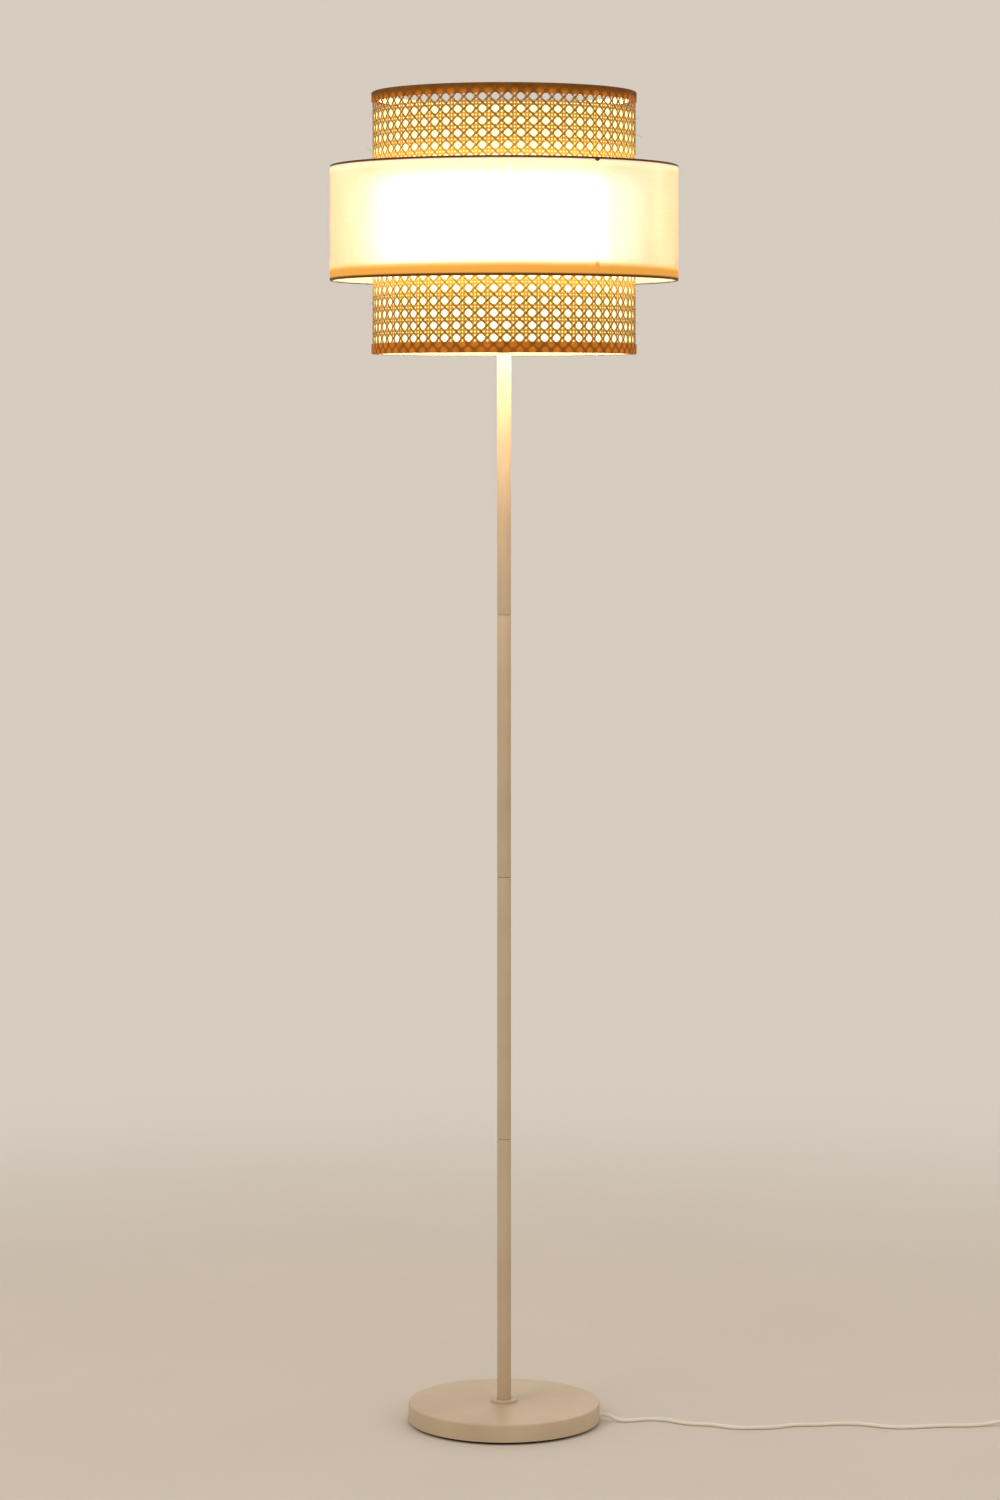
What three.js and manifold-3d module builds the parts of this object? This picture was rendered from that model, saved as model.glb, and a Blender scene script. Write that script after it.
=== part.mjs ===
// Floor lamp with a caned shade: a round weighted base, a pole screwed together from four tubes,
// and a shade of three tiers, cane above and below a wider fabric drum. Millimetres, +Z up.
// The origin is the centre of the foot pad's underside, on the floor.
import * as THREE from "three";
import { mergeVertices } from "three/addons/utils/BufferGeometryUtils.js";
import Module from "manifold-3d";

const wasm = await Module();
wasm.setup();

// Clearances and counts
const SEAT_GAP = 0.3; // between a piece and the seat that it rests in
const OVERRUN = 3; // how far a cut runs past what it cuts
const FULL_TURN = 2 * Math.PI;
const BASE_SIDES = 28;
const POLE_SIDES = 12;
const HOLDER_SIDES = 16;
const SMALL_SIDES = 8;
const WIRE_SIDES = 5;
const CORD_SIDES = 8;

// Base
const BASE_RADIUS = 110;
const PAD_THICKNESS = 3;
const PAD_INSET = 6;
const PAD_HOLE_RADIUS = 12;
const COVER_HEIGHT = 20;
const COVER_WALL = 1.2;
const COVER_EDGE_RADIUS = 2;
const WEIGHT_SLAB_THICKNESS = 7.5;
const WEIGHT_POCKET_RADIUS = 60;
const WEIGHT_SIDE_GAP = 1.8;
const CABLE_SLOT_WIDTH = 9;
const CABLE_SLOT_HEIGHT = 9.5;
const COLLAR_RADIUS = 15;
const COLLAR_THICKNESS = 3;
const COLLAR_EDGE_RADIUS = 1.2;
const COLLAR_RECESS_DEPTH = 1.8;
const WASHER_RADIUS = 14;
const WASHER_THICKNESS = 1.5;
const NUT_SIDES = 6;
const NUT_ACROSS_FLATS = 14;
const NUT_THICKNESS = 4;

// Hollow threaded studs that join the base, the pole and the lampholder
const STUD_RADIUS = 5;
const STUD_BORE_RADIUS = 3.5;
const STUD_ENGAGEMENT = 12;
const STUD_BELOW_NUT = 0.2;

// Pole
const POLE_RADIUS = 8;
const POLE_WALL = 1;
const POLE_SECTIONS = 4;
const POLE_TOP_HEIGHT = 1229;
const POLE_BUSH_LENGTH = 14;
const POLE_CHAMFER = 0.4;

// Shade: an inner cylinder with a cane band at each end, and a drum round its middle
const SHADE_BOTTOM_HEIGHT = 1227;
const SHADE_HEIGHT = 300;
const DRUM_HEIGHT = 132;
const DRUM_RADIUS = 200;
const DRUM_WALL = 0.8;
const SHADE_SIDES = 28;
const LINER_RADIUS = 149.4; // outer
const LINER_WALL = 0.8;
const LINER_TOP_DROP = 22; // the liner stops this far below the rim
const CANE_WALL = 1.6;
const CANE_ROWS = 3;
const CANE_HOLE_WIDTH_SHARE = 0.68; // of a cell
const CANE_HOLE_HEIGHT_SHARE = 0.68;
const TRIM_HEIGHT = 11.5;
const TRIM_INNER_HEIGHT = 9;
const TRIM_THICKNESS = 0.6;
const HEM_HEIGHT = 14.5;
const TOP_HEM_HEIGHT = 8;
const HEM_THICKNESS = 0.5;
const RING_WIRE_RADIUS = 1.75;
const SPOKE_RADIUS = 1.5;
const SPOKES = 4;
const SPOKE_COLUMN = 3; // the cane column that the first spoke passes through
const ARM_RADIUS = 2;
const ARMS = 3;
const ARM_FIRST_ANGLE = FULL_TURN / 4;
const FITTER_OUTER_RADIUS = 27;
const FITTER_THICKNESS = 2;

// Lampholder and bulb
const HOLDER_FOOT_RADIUS = 10;
const HOLDER_RADIUS = 19.9;
const HOLDER_CAP_HEIGHT = 18;
const HOLDER_CAP_FLOOR = 8;
const HOLDER_CAP_WALL = 2.2;
const HOLDER_BORE_RADIUS = 14.2;
const HOLDER_SHELL_HEIGHT = 33;
const HOLDER_FLANGE_RADIUS = 25;
const HOLDER_FLANGE_THICKNESS = 3;
const HOLDER_FLANGE_RISE = 10;
const INSERT_THICKNESS = 6;
const INSERT_LEDGE = 2;
const RING_NUT_RADIUS = 26;
const RING_NUT_HEIGHT = 8;
const RING_NUT_LIP = 1;
const BULB_CAP_RADIUS = 13.2;
const BULB_CAP_LENGTH = 25;
const BULB_TIP_RADIUS = 4.5;
const BULB_TIP_LENGTH = 2.5;
const BULB_RADIUS = 30;
const BULB_LENGTH = 82; // of the glass
const BULB_NECK_RADIUS = 13;
const BULB_WALL = 1;

// Supply cord
const CORD_DIAMETER = 4.2;
const CORD_STEP = 3 * CORD_DIAMETER;
const CORD_EXIT_HEIGHT = 7.5;
const CORD_BEND_RADIUS = 4.5; // where the cable turns up into the stud
const CABLE_LOW_HEIGHT = 5.5; // the cable's own height under the stud
const BUSHING_NECK_RADIUS = 3.6;
const BUSHING_FLANGE_RADIUS = 4.6;
const BUSHING_FLANGE_THICKNESS = 1.2;
const CLAMP_WIDTH = 24;
const CLAMP_LENGTH = 12;
const CLAMP_BOTTOM_HEIGHT = 5;
const CLAMP_DISTANCE = 42; // from the base's centre
const CLAMP_SCREW_SPACING = 16;
const SCREW_RADIUS = 1.5;
const SCREW_HEAD_RADIUS = 2.8;
const SCREW_HEAD_HEIGHT = 1.5;
const SCREW_BITE = 4;

// The cord's free stretches, [x, y, z] of the centreline from the base to the switch,
// from the switch to the coil, and from the coil to the plug
const CORD_TO_SWITCH_ROUTE = [
  [111.4, 0, 7.5], [117, -0.3, 7.3], [122, -1.8, 6.2], [128, -4.6, 4.1], [134, -6.6, 2.8],
  [141, -6.9, 2.4], [149, -4.6, 2.4], [161, -0.8, 2.4], [174.8, -0.4, 2.4], [188.5, -5.4, 2.4],
  [202.3, -15.2, 2.4], [215, -21.8, 2.4], [228, -23.4, 2.4], [238, -25.4, 2.4], [250.4, -33, 2.4],
  [264, -39.1, 2.4], [277.7, -39.8, 2.4], [291.6, -38.6, 2.4], [305.4, -37.4, 2.4],
  [319.2, -31.8, 2.4], [333.1, -26, 2.4], [346.9, -25.2, 2.4], [360.8, -24.5, 2.4],
  [381.4, -20.6, 2.4], [402, -21, 2.4], [422.5, -28.4, 2.4], [436.2, -34.8, 2.4],
  [450, -37.2, 2.4], [470.6, -35.4, 2.4], [491.4, -31, 2.4], [512, -29.3, 2.4],
  [528, -28.6, 2.4], [543, -26.4, 2.5], [556, -23, 3.1], [568, -20.5, 4.5], [579.7, -20, 5],
];
const CORD_TO_COIL_ROUTE = [
  [690.3, -20, 5], [697, -20, 4.6], [704, -20, 4], [711, -20, 3.5], [717.5, -20, 3.4],
];
const CORD_TO_PLUG_ROUTE = [
  [717.5, 37.4, 17.8], [711, 37.4, 17.4], [703, 38.2, 15.2], [693, 40.4, 11.2],
  [683, 42.6, 8], [675, 43.4, 6.95], [669, 43.4, 6.85],
];

// Coil of the spare cord
const COIL_MIDDLE_RADIUS = 23;
const COIL_LAYERS = 4;
const COIL_TURNS = 9.5;
const COIL_GAP = 0.6; // between turns
const COIL_STEPS = 22; // in one turn
const COIL_SIDES = 6;
const COIL_START_X = 722;
const COIL_START_ANGLE = -FULL_TURN / 4;
const TIE_THICKNESS = 0.8;
const TIE_CLEARANCE = 0.5;
const TIE_WIDTH = 8;

// Foot switch on the cord
const SWITCH_X = 635;
const SWITCH_Y = -20;
const SWITCH_LENGTH = 70;
const SWITCH_WIDTH = 36;
const SWITCH_CORNER_RADIUS = 14;
const SWITCH_LOWER_HEIGHT = 10.5;
const SWITCH_UPPER_HEIGHT = 8;
const SWITCH_WALL = 2;
const SWITCH_BEVEL = 2;
const SWITCH_CORD_HEIGHT = 5;
const GLAND_LENGTH = 20;
const GLAND_RADIUS = 4.6;
const GLAND_TIP_RADIUS = 2.9;
const BUTTON_RADIUS = 10;
const BUTTON_RISE = 4.5; // above the housing at rest
const BUTTON_FLANGE_WIDTH = 1.6;
const BUTTON_FLANGE_THICKNESS = 1.5;
const BUTTON_TRAVEL = 3;
const BUTTON_EDGE = 0.8;
const CONTACT_BLOCK_LENGTH = 26;
const CONTACT_BLOCK_WIDTH = 16;

// Plug
const PLUG_THICKNESS = 13.7;
const PLUG_WIDTH = 26;
const PLUG_LENGTH = 34;
const PLUG_REAR_WIDTH = 13;
const PLUG_TAPER_LENGTH = 14;
const PLUG_BEVEL = 1.6;
const PLUG_RELIEF_LENGTH = 24;
const PLUG_RELIEF_RADIUS = 5;
const PLUG_RELIEF_WALL = 0.5; // at its thin end
const PIN_RADIUS = 2;
const PIN_LENGTH = 19;
const PIN_SPACING = 18.6;
const PIN_ROOT = 6; // inside the plug
const PIN_TIP_LENGTH = 1;

// Finishes: colour, roughness, metalness
const CREAM_PAINT = [0xc9bfae, 0.55, 0.1];
const BLACK_FOAM = [0x1c1b1a, 0.95, 0];
const CAST_IRON = [0x3b3a39, 0.8, 0.6];
const ZINC = [0xa9abad, 0.4, 0.9];
const WHITE_PLASTIC = [0xe9e5dc, 0.45, 0];
const WHITE_CORD = [0xe6e0d4, 0.6, 0];
const CERAMIC = [0xe3dfd6, 0.5, 0];
const OPAL_GLASS = [0xfff3dc, 0.3, 0];
const WIRE_PAINT = [0xd8d2c6, 0.5, 0.3];
const LINER_FILM = [0xf7efe0, 0.7, 0];
const CANE = [0xc98f45, 0.6, 0];
const TRIM_TAPE = [0xa86a22, 0.85, 0];
const DRUM_LINEN = [0xf6e9cf, 0.9, 0];
const PLATED_BRASS = [0xc9c4b8, 0.3, 1];

// Sizes and places worked out from the ones above
const coverTop = PAD_THICKNESS + COVER_HEIGHT;
const slabTop = coverTop - COVER_WALL;
const slabBottom = slabTop - WEIGHT_SLAB_THICKNESS;
const weightRadius = BASE_RADIUS - COVER_WALL - WEIGHT_SIDE_GAP;
const washerBottom = slabBottom - WASHER_THICKNESS;
const nutBottom = washerBottom - NUT_THICKNESS;
const collarTop = coverTop + COLLAR_THICKNESS;
const poleFoot = collarTop - COLLAR_RECESS_DEPTH;
const poleLength = POLE_TOP_HEIGHT - poleFoot;
const sectionLength = (poleLength - (POLE_SECTIONS - 1) * SEAT_GAP) / POLE_SECTIONS;
const threadClearRadius = STUD_RADIUS + SEAT_GAP;
const cordRadius = CORD_DIAMETER / 2;
// Round walls are many-sided, and a flat of theirs lies nearer the axis than a corner by this share
const baseFlatShare = Math.cos(FULL_TURN / BASE_SIDES / 2);
const shadeFlatShare = Math.cos(FULL_TURN / SHADE_SIDES / 2);
const bushingInnerFace = (BASE_RADIUS - COVER_WALL) * baseFlatShare - SEAT_GAP;
const bushingOuterFace = BASE_RADIUS * baseFlatShare + SEAT_GAP;
const cordExit = bushingOuterFace + BUSHING_FLANGE_THICKNESS;

const shadeTop = SHADE_BOTTOM_HEIGHT + SHADE_HEIGHT;
const shadeMiddle = SHADE_BOTTOM_HEIGHT + SHADE_HEIGHT / 2;
const drumBottom = shadeMiddle - DRUM_HEIGHT / 2;
const drumTop = shadeMiddle + DRUM_HEIGHT / 2;
const linerInner = LINER_RADIUS - LINER_WALL;
const caneInner = LINER_RADIUS + SEAT_GAP;
const caneOuter = caneInner + CANE_WALL;
const innerRingRadius = linerInner - SEAT_GAP - RING_WIRE_RADIUS;
const rimInset = TRIM_THICKNESS + SEAT_GAP; // from the shade's rim to what the trim wraps
const ringInset = rimInset + RING_WIRE_RADIUS;
const drumRingRadius = DRUM_RADIUS - DRUM_WALL - SEAT_GAP - RING_WIRE_RADIUS;
const drumRingInset = HEM_THICKNESS + 2 * SEAT_GAP + RING_WIRE_RADIUS;
const caneEdgeHeight = SHADE_BOTTOM_HEIGHT + TRIM_HEIGHT;
const spokeHeight = drumBottom + drumRingInset;
const caneCellHeight = (spokeHeight - caneEdgeHeight) / (CANE_ROWS - 1 / 2);
const columnAngle = FULL_TURN / SHADE_SIDES;
const spokeFirstAngle = (SPOKE_COLUMN + 1 / 2) * columnAngle;

const holderFoot = POLE_TOP_HEIGHT + SEAT_GAP;
const shellBottom = holderFoot + HOLDER_CAP_HEIGHT + SEAT_GAP;
const shellTop = shellBottom + HOLDER_SHELL_HEIGHT;
const insertTop = shellBottom + INSERT_THICKNESS;
const flangeTop = shellBottom + HOLDER_FLANGE_RISE + HOLDER_FLANGE_THICKNESS;
const fitterBore = HOLDER_RADIUS + SEAT_GAP;
const fitterBottom = flangeTop + SEAT_GAP;
const fitterTop = fitterBottom + FITTER_THICKNESS;
const bulbBottom = insertTop + SEAT_GAP;
const glassBottom = bulbBottom + BULB_CAP_LENGTH + SEAT_GAP;

const coilPitch = CORD_DIAMETER + COIL_GAP;
const turnsInLayer = COIL_TURNS / COIL_LAYERS;
const coilOuter = COIL_MIDDLE_RADIUS + (turnsInLayer * coilPitch) / 2;
const coilInner = COIL_MIDDLE_RADIUS - (turnsInLayer * coilPitch) / 2;
const coilLowest = TIE_THICKNESS + TIE_CLEARANCE + cordRadius;
const coilCentreY = SWITCH_Y + coilOuter;

const switchTop = SWITCH_LOWER_HEIGHT + SEAT_GAP + SWITCH_UPPER_HEIGHT;
const buttonRoom = SWITCH_UPPER_HEIGHT - SWITCH_WALL;

// A profile of [radius, height] points turned round the Z axis. A profile that doesn't run
// from axis to axis is closed on itself, and it is turned to face outwards.
function turned(profile, sides) {
  const points = profile.map(([r, z]) => new THREE.Vector2(r, z));
  if (THREE.ShapeUtils.area(points) < 0) points.reverse();
  const first = points[0];
  const last = points[points.length - 1];
  if (first.x > 0 || last.x > 0) points.push(first.clone());
  return new THREE.LatheGeometry(points, sides).rotateX(FULL_TURN / 4);
}

// Points of a quarter circle from angle a to angle b about [r, z], both ends included
function arc([r, z], radius, a, b, steps) {
  return Array.from({ length: steps + 1 }, (_, i) => {
    const angle = a + ((b - a) * i) / steps;
    return [r + radius * Math.cos(angle), z + radius * Math.sin(angle)];
  });
}

// A hollow cylinder between two radii and two heights
function sleeve(inner, outer, bottom, top, sides) {
  return turned([[inner, bottom], [outer, bottom], [outer, top], [inner, top]], sides);
}

// A round rod from one point to another
function rod(from, to, radius, sides) {
  const a = new THREE.Vector3(...from);
  const b = new THREE.Vector3(...to);
  const along = b.clone().sub(a);
  const geometry = new THREE.CylinderGeometry(radius, radius, along.length(), sides);
  const up = new THREE.Vector3(0, 1, 0);
  geometry.applyQuaternion(new THREE.Quaternion().setFromUnitVectors(up, along.normalize()));
  const middle = a.add(b).divideScalar(2);
  return geometry.translate(middle.x, middle.y, middle.z);
}

// A wire bent into a level ring
function wireRing(radius, height) {
  const geometry = new THREE.TorusGeometry(radius, RING_WIRE_RADIUS, WIRE_SIDES, SHADE_SIDES);
  return geometry.translate(0, 0, height);
}

function block(length, width, height) {
  return new THREE.BoxGeometry(length, width, height);
}

// Geometry to a solid that can be joined and cut, and back
function solid(geometry) {
  const bare = geometry.clone();
  bare.deleteAttribute("normal");
  bare.deleteAttribute("uv");
  const merged = mergeVertices(bare, SEAT_GAP / 1000);
  const vertProperties = new Float32Array(merged.attributes.position.array);
  const triVerts = new Uint32Array(merged.index.array);
  return new wasm.Manifold(new wasm.Mesh({ numProp: 3, vertProperties, triVerts }));
}

function geometryOf(made) {
  const mesh = made.getMesh();
  const geometry = new THREE.BufferGeometry();
  geometry.setAttribute("position", new THREE.BufferAttribute(mesh.vertProperties, 3));
  geometry.setIndex(new THREE.BufferAttribute(mesh.triVerts, 1));
  geometry.computeVertexNormals();
  return geometry;
}

function joined(...geometries) {
  return geometryOf(geometries.map(solid).reduce((whole, next) => whole.add(next)));
}

function cut(geometry, ...tools) {
  return geometryOf(tools.map(solid).reduce((left, tool) => left.subtract(tool), solid(geometry)));
}

// A curve whose steps fall on the given points, so that bends are stepped finely and
// straight runs are not
class SteppedCurve extends THREE.Curve {
  constructor(points) {
    super();
    this.points = points;
  }
  getPoint(t) {
    const at = t * (this.points.length - 1);
    const i = Math.min(Math.floor(at), this.points.length - 2);
    return new THREE.Vector3().lerpVectors(this.points[i], this.points[i + 1], at - i);
  }
  getPointAt(u) {
    return this.getPoint(u);
  }
  getTangentAt(u) {
    const step = 1 / (this.points.length - 1);
    const before = this.getPoint(Math.max(0, u - step / 2));
    const after = this.getPoint(Math.min(1, u + step / 2));
    return after.sub(before).normalize();
  }
}

// A cord's tube along a curve, with flat ends
function cordTube(curve, steps) {
  const section = new THREE.Shape();
  for (let i = 0; i < CORD_SIDES; i += 1) {
    const angle = (FULL_TURN * i) / CORD_SIDES;
    const place = [cordRadius * Math.cos(angle), cordRadius * Math.sin(angle)];
    if (i === 0) section.moveTo(...place);
    else section.lineTo(...place);
  }
  return new THREE.ExtrudeGeometry(section, { steps, extrudePath: curve });
}

function cordAlong(route) {
  const curve = new THREE.CatmullRomCurve3(route.map((p) => new THREE.Vector3(...p)));
  return cordTube(curve, Math.ceil(curve.getLength() / CORD_STEP));
}

// An outline with rounded corners, as long as length along X and as wide as width along Y
function roundedOutline(length, width, radius) {
  const shape = new THREE.Shape();
  const x = length / 2 - radius;
  const y = width / 2 - radius;
  shape.moveTo(x, -y - radius);
  shape.absarc(x, -y, radius, -FULL_TURN / 4, 0);
  shape.absarc(x, y, radius, 0, FULL_TURN / 4);
  shape.absarc(-x, y, radius, FULL_TURN / 4, FULL_TURN / 2);
  shape.absarc(-x, -y, radius, FULL_TURN / 2, (3 * FULL_TURN) / 4);
  return shape;
}

function raised(shape, bottom, top) {
  const options = { depth: top - bottom, bevelEnabled: false, curveSegments: 3 };
  return new THREE.ExtrudeGeometry(shape, options).translate(0, 0, bottom);
}

const lamp = new THREE.Group();

function add(name, geometry, [colour, roughness, metalness]) {
  const material = new THREE.MeshStandardMaterial({ color: colour, roughness, metalness });
  const mesh = new THREE.Mesh(geometry, material);
  mesh.name = name;
  lamp.add(mesh);
}

// A hollow threaded stud
function stud(bottom, top) {
  return sleeve(STUD_BORE_RADIUS, STUD_RADIUS, bottom, top, SMALL_SIDES);
}

// Foot pad: a black foam disc under the weight, set in from the cover's rim
function basePad() {
  return sleeve(PAD_HOLE_RADIUS, BASE_RADIUS - PAD_INSET, 0, PAD_THICKNESS, BASE_SIDES);
}

// Cast weight: a thick disc with a pocket in its underside for the nut, the clamp and the cable,
// and a slot from the pocket to the edge
function baseWeight() {
  const casting = turned([
    [threadClearRadius, slabBottom],
    [WEIGHT_POCKET_RADIUS, slabBottom],
    [WEIGHT_POCKET_RADIUS, PAD_THICKNESS],
    [weightRadius, PAD_THICKNESS],
    [weightRadius, slabTop],
    [threadClearRadius, slabTop],
  ], BASE_SIDES);
  const slotLength = weightRadius - WEIGHT_POCKET_RADIUS + 2 * OVERRUN;
  const slot = block(slotLength, CABLE_SLOT_WIDTH, CABLE_SLOT_HEIGHT + OVERRUN).translate(
    (weightRadius + WEIGHT_POCKET_RADIUS) / 2,
    0,
    PAD_THICKNESS + (CABLE_SLOT_HEIGHT - OVERRUN) / 2,
  );
  const screwHoles = clampScrewPlaces().map(([x, y]) =>
    rod(
      [x, y, slabBottom - OVERRUN],
      [x, y, slabBottom + SCREW_BITE + SEAT_GAP],
      SCREW_RADIUS + SEAT_GAP,
      SMALL_SIDES,
    ),
  );
  return cut(casting, slot, ...screwHoles);
}

// Pressed steel cover: a shallow pan upside down, with a rounded edge, notched for the bushing.
// It is turned so that one of its flats faces the bushing.
function baseCover() {
  const edge = COVER_EDGE_RADIUS;
  const outside = arc([BASE_RADIUS - edge, coverTop - edge], edge, 0, FULL_TURN / 4, 2);
  const innerEdge = edge - COVER_WALL;
  const inside = arc([BASE_RADIUS - edge, coverTop - edge], innerEdge, FULL_TURN / 4, 0, 1);
  const pan = turned([
    [BASE_RADIUS, PAD_THICKNESS],
    ...outside,
    [threadClearRadius, coverTop],
    [threadClearRadius, slabTop],
    ...inside,
    [BASE_RADIUS - COVER_WALL, PAD_THICKNESS],
  ], BASE_SIDES).rotateZ(FULL_TURN / BASE_SIDES / 2);
  const notchRadius = BUSHING_NECK_RADIUS + SEAT_GAP;
  const from = BASE_RADIUS - COVER_WALL - OVERRUN;
  const to = BASE_RADIUS + OVERRUN;
  const round = rod([from, 0, CORD_EXIT_HEIGHT], [to, 0, CORD_EXIT_HEIGHT], notchRadius, SMALL_SIDES);
  const depth = CORD_EXIT_HEIGHT - PAD_THICKNESS + OVERRUN;
  const straight = block(to - from, 2 * notchRadius, depth).translate(
    (from + to) / 2,
    0,
    CORD_EXIT_HEIGHT - depth / 2,
  );
  return cut(pan, joined(round, straight));
}

function baseWasher() {
  return sleeve(threadClearRadius, WASHER_RADIUS, washerBottom, slabBottom, POLE_SIDES);
}

function baseNut() {
  const corner = NUT_ACROSS_FLATS / 2 / Math.cos(FULL_TURN / NUT_SIDES / 2);
  const body = new THREE.CylinderGeometry(corner, corner, NUT_THICKNESS, NUT_SIDES);
  body.rotateX(FULL_TURN / 4).translate(0, 0, nutBottom + NUT_THICKNESS / 2);
  const from = [0, 0, nutBottom - OVERRUN];
  return cut(body, rod(from, [0, 0, washerBottom + OVERRUN], threadClearRadius, SMALL_SIDES));
}

// Collar at the pole's foot, recessed to centre the pole
function baseCollar() {
  const edge = COLLAR_EDGE_RADIUS;
  const recess = POLE_RADIUS + SEAT_GAP;
  return turned([
    [threadClearRadius, coverTop],
    [COLLAR_RADIUS, coverTop],
    ...arc([COLLAR_RADIUS - edge, collarTop - edge], edge, 0, FULL_TURN / 4, 2),
    [recess, collarTop],
    [recess, poleFoot],
    [threadClearRadius, poleFoot],
  ], HOLDER_SIDES);
}

// Flanged bushing that lines the cover's notch, turned along X
function cordBushing() {
  const bore = cordRadius + SEAT_GAP;
  const inner = bushingInnerFace;
  const outer = bushingOuterFace;
  return turned([
    [bore, inner - BUSHING_FLANGE_THICKNESS],
    [BUSHING_FLANGE_RADIUS, inner - BUSHING_FLANGE_THICKNESS],
    [BUSHING_FLANGE_RADIUS, inner],
    [BUSHING_NECK_RADIUS, inner],
    [BUSHING_NECK_RADIUS, outer],
    [BUSHING_FLANGE_RADIUS, outer],
    [BUSHING_FLANGE_RADIUS, outer + BUSHING_FLANGE_THICKNESS],
    [bore, outer + BUSHING_FLANGE_THICKNESS],
  ], SMALL_SIDES)
    .rotateY(FULL_TURN / 4)
    .translate(0, 0, CORD_EXIT_HEIGHT);
}

function clampScrewPlaces() {
  return [-1, 1].map((side) => [CLAMP_DISTANCE, (side * CLAMP_SCREW_SPACING) / 2]);
}

// Saddle that grips the cable under the weight's slab
function cordClamp() {
  const height = slabBottom - CLAMP_BOTTOM_HEIGHT;
  const saddle = block(CLAMP_LENGTH, CLAMP_WIDTH, height).translate(
    CLAMP_DISTANCE,
    0,
    CLAMP_BOTTOM_HEIGHT + height / 2,
  );
  const reach = CLAMP_LENGTH / 2 + OVERRUN;
  const groove = rod(
    [CLAMP_DISTANCE - reach, 0, CORD_EXIT_HEIGHT],
    [CLAMP_DISTANCE + reach, 0, CORD_EXIT_HEIGHT],
    cordRadius + SEAT_GAP,
    SMALL_SIDES,
  );
  const screwHoles = clampScrewPlaces().map(([x, y]) =>
    rod(
      [x, y, CLAMP_BOTTOM_HEIGHT - OVERRUN],
      [x, y, slabBottom + OVERRUN],
      SCREW_RADIUS + SEAT_GAP,
      SMALL_SIDES,
    ),
  );
  return cut(saddle, groove, ...screwHoles);
}

function clampScrew([x, y]) {
  const headBottom = CLAMP_BOTTOM_HEIGHT - SCREW_HEAD_HEIGHT;
  return turned([
    [0, headBottom],
    [SCREW_HEAD_RADIUS, headBottom],
    [SCREW_HEAD_RADIUS, CLAMP_BOTTOM_HEIGHT],
    [SCREW_RADIUS, CLAMP_BOTTOM_HEIGHT],
    [SCREW_RADIUS, slabBottom + SCREW_BITE],
    [0, slabBottom + SCREW_BITE],
  ], SMALL_SIDES).translate(x, y, 0);
}

// Cable inside the lamp: from the bushing through the clamp, up through the studs to the holder
function innerCable() {
  const clampEnd = CLAMP_DISTANCE - CLAMP_LENGTH / 2 - CORD_DIAMETER;
  const bendCentre = CABLE_LOW_HEIGHT + CORD_BEND_RADIUS;
  const top = shellBottom - SEAT_GAP;
  const point = (x, z) => new THREE.Vector3(x, 0, z);
  const drop = CORD_EXIT_HEIGHT - CABLE_LOW_HEIGHT;
  const slopeEnd = clampEnd / 2;
  const places = [
    point(cordExit, CORD_EXIT_HEIGHT),
    point(WEIGHT_POCKET_RADIUS, CORD_EXIT_HEIGHT),
    point(clampEnd, CORD_EXIT_HEIGHT),
    point((clampEnd + slopeEnd) / 2, CORD_EXIT_HEIGHT - drop / 2),
    point(slopeEnd, CABLE_LOW_HEIGHT),
    ...arc([CORD_BEND_RADIUS, bendCentre], CORD_BEND_RADIUS, -FULL_TURN / 4, -FULL_TURN / 2, 5)
      .map(([x, z]) => point(x, z)),
    ...Array.from({ length: POLE_SECTIONS }, (_, i) =>
      point(0, poleFoot + (i + 1) * (sectionLength + SEAT_GAP))),
    point(0, top),
  ];
  return cordTube(new SteppedCurve(places), places.length - 1);
}

// One tube of the pole, with a threaded bush fixed in each end
function poleSection(index) {
  const bottom = poleFoot + index * (sectionLength + SEAT_GAP);
  const top = bottom + sectionLength;
  const bore = POLE_RADIUS - POLE_WALL;
  return turned([
    [threadClearRadius, bottom],
    [POLE_RADIUS - POLE_CHAMFER, bottom],
    [POLE_RADIUS, bottom + POLE_CHAMFER],
    [POLE_RADIUS, top - POLE_CHAMFER],
    [POLE_RADIUS - POLE_CHAMFER, top],
    [threadClearRadius, top],
    [threadClearRadius, top - POLE_BUSH_LENGTH],
    [bore, top - POLE_BUSH_LENGTH],
    [bore, bottom + POLE_BUSH_LENGTH],
    [threadClearRadius, bottom + POLE_BUSH_LENGTH],
  ], POLE_SIDES);
}

function poleJointStud(index) {
  const joint = poleFoot + index * (sectionLength + SEAT_GAP) - SEAT_GAP / 2;
  return stud(joint - STUD_ENGAGEMENT, joint + STUD_ENGAGEMENT);
}

// Lampholder's dome, screwed on the pole's top stud
function lampholderCap() {
  const top = holderFoot + HOLDER_CAP_HEIGHT;
  const ledge = HOLDER_BORE_RADIUS - INSERT_LEDGE;
  const shoulder = HOLDER_RADIUS - HOLDER_FOOT_RADIUS;
  return turned([
    [threadClearRadius, holderFoot],
    [HOLDER_FOOT_RADIUS, holderFoot],
    ...arc([HOLDER_FOOT_RADIUS, top], shoulder, -FULL_TURN / 4, 0, 3).map(([r, z], i) =>
      [r, i === 0 ? top - shoulder : z]),
    [ledge, top],
    [ledge, top - HOLDER_CAP_WALL],
    [ledge - HOLDER_CAP_WALL, holderFoot + HOLDER_CAP_FLOOR],
    [threadClearRadius, holderFoot + HOLDER_CAP_FLOOR],
  ], HOLDER_SIDES);
}

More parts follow.
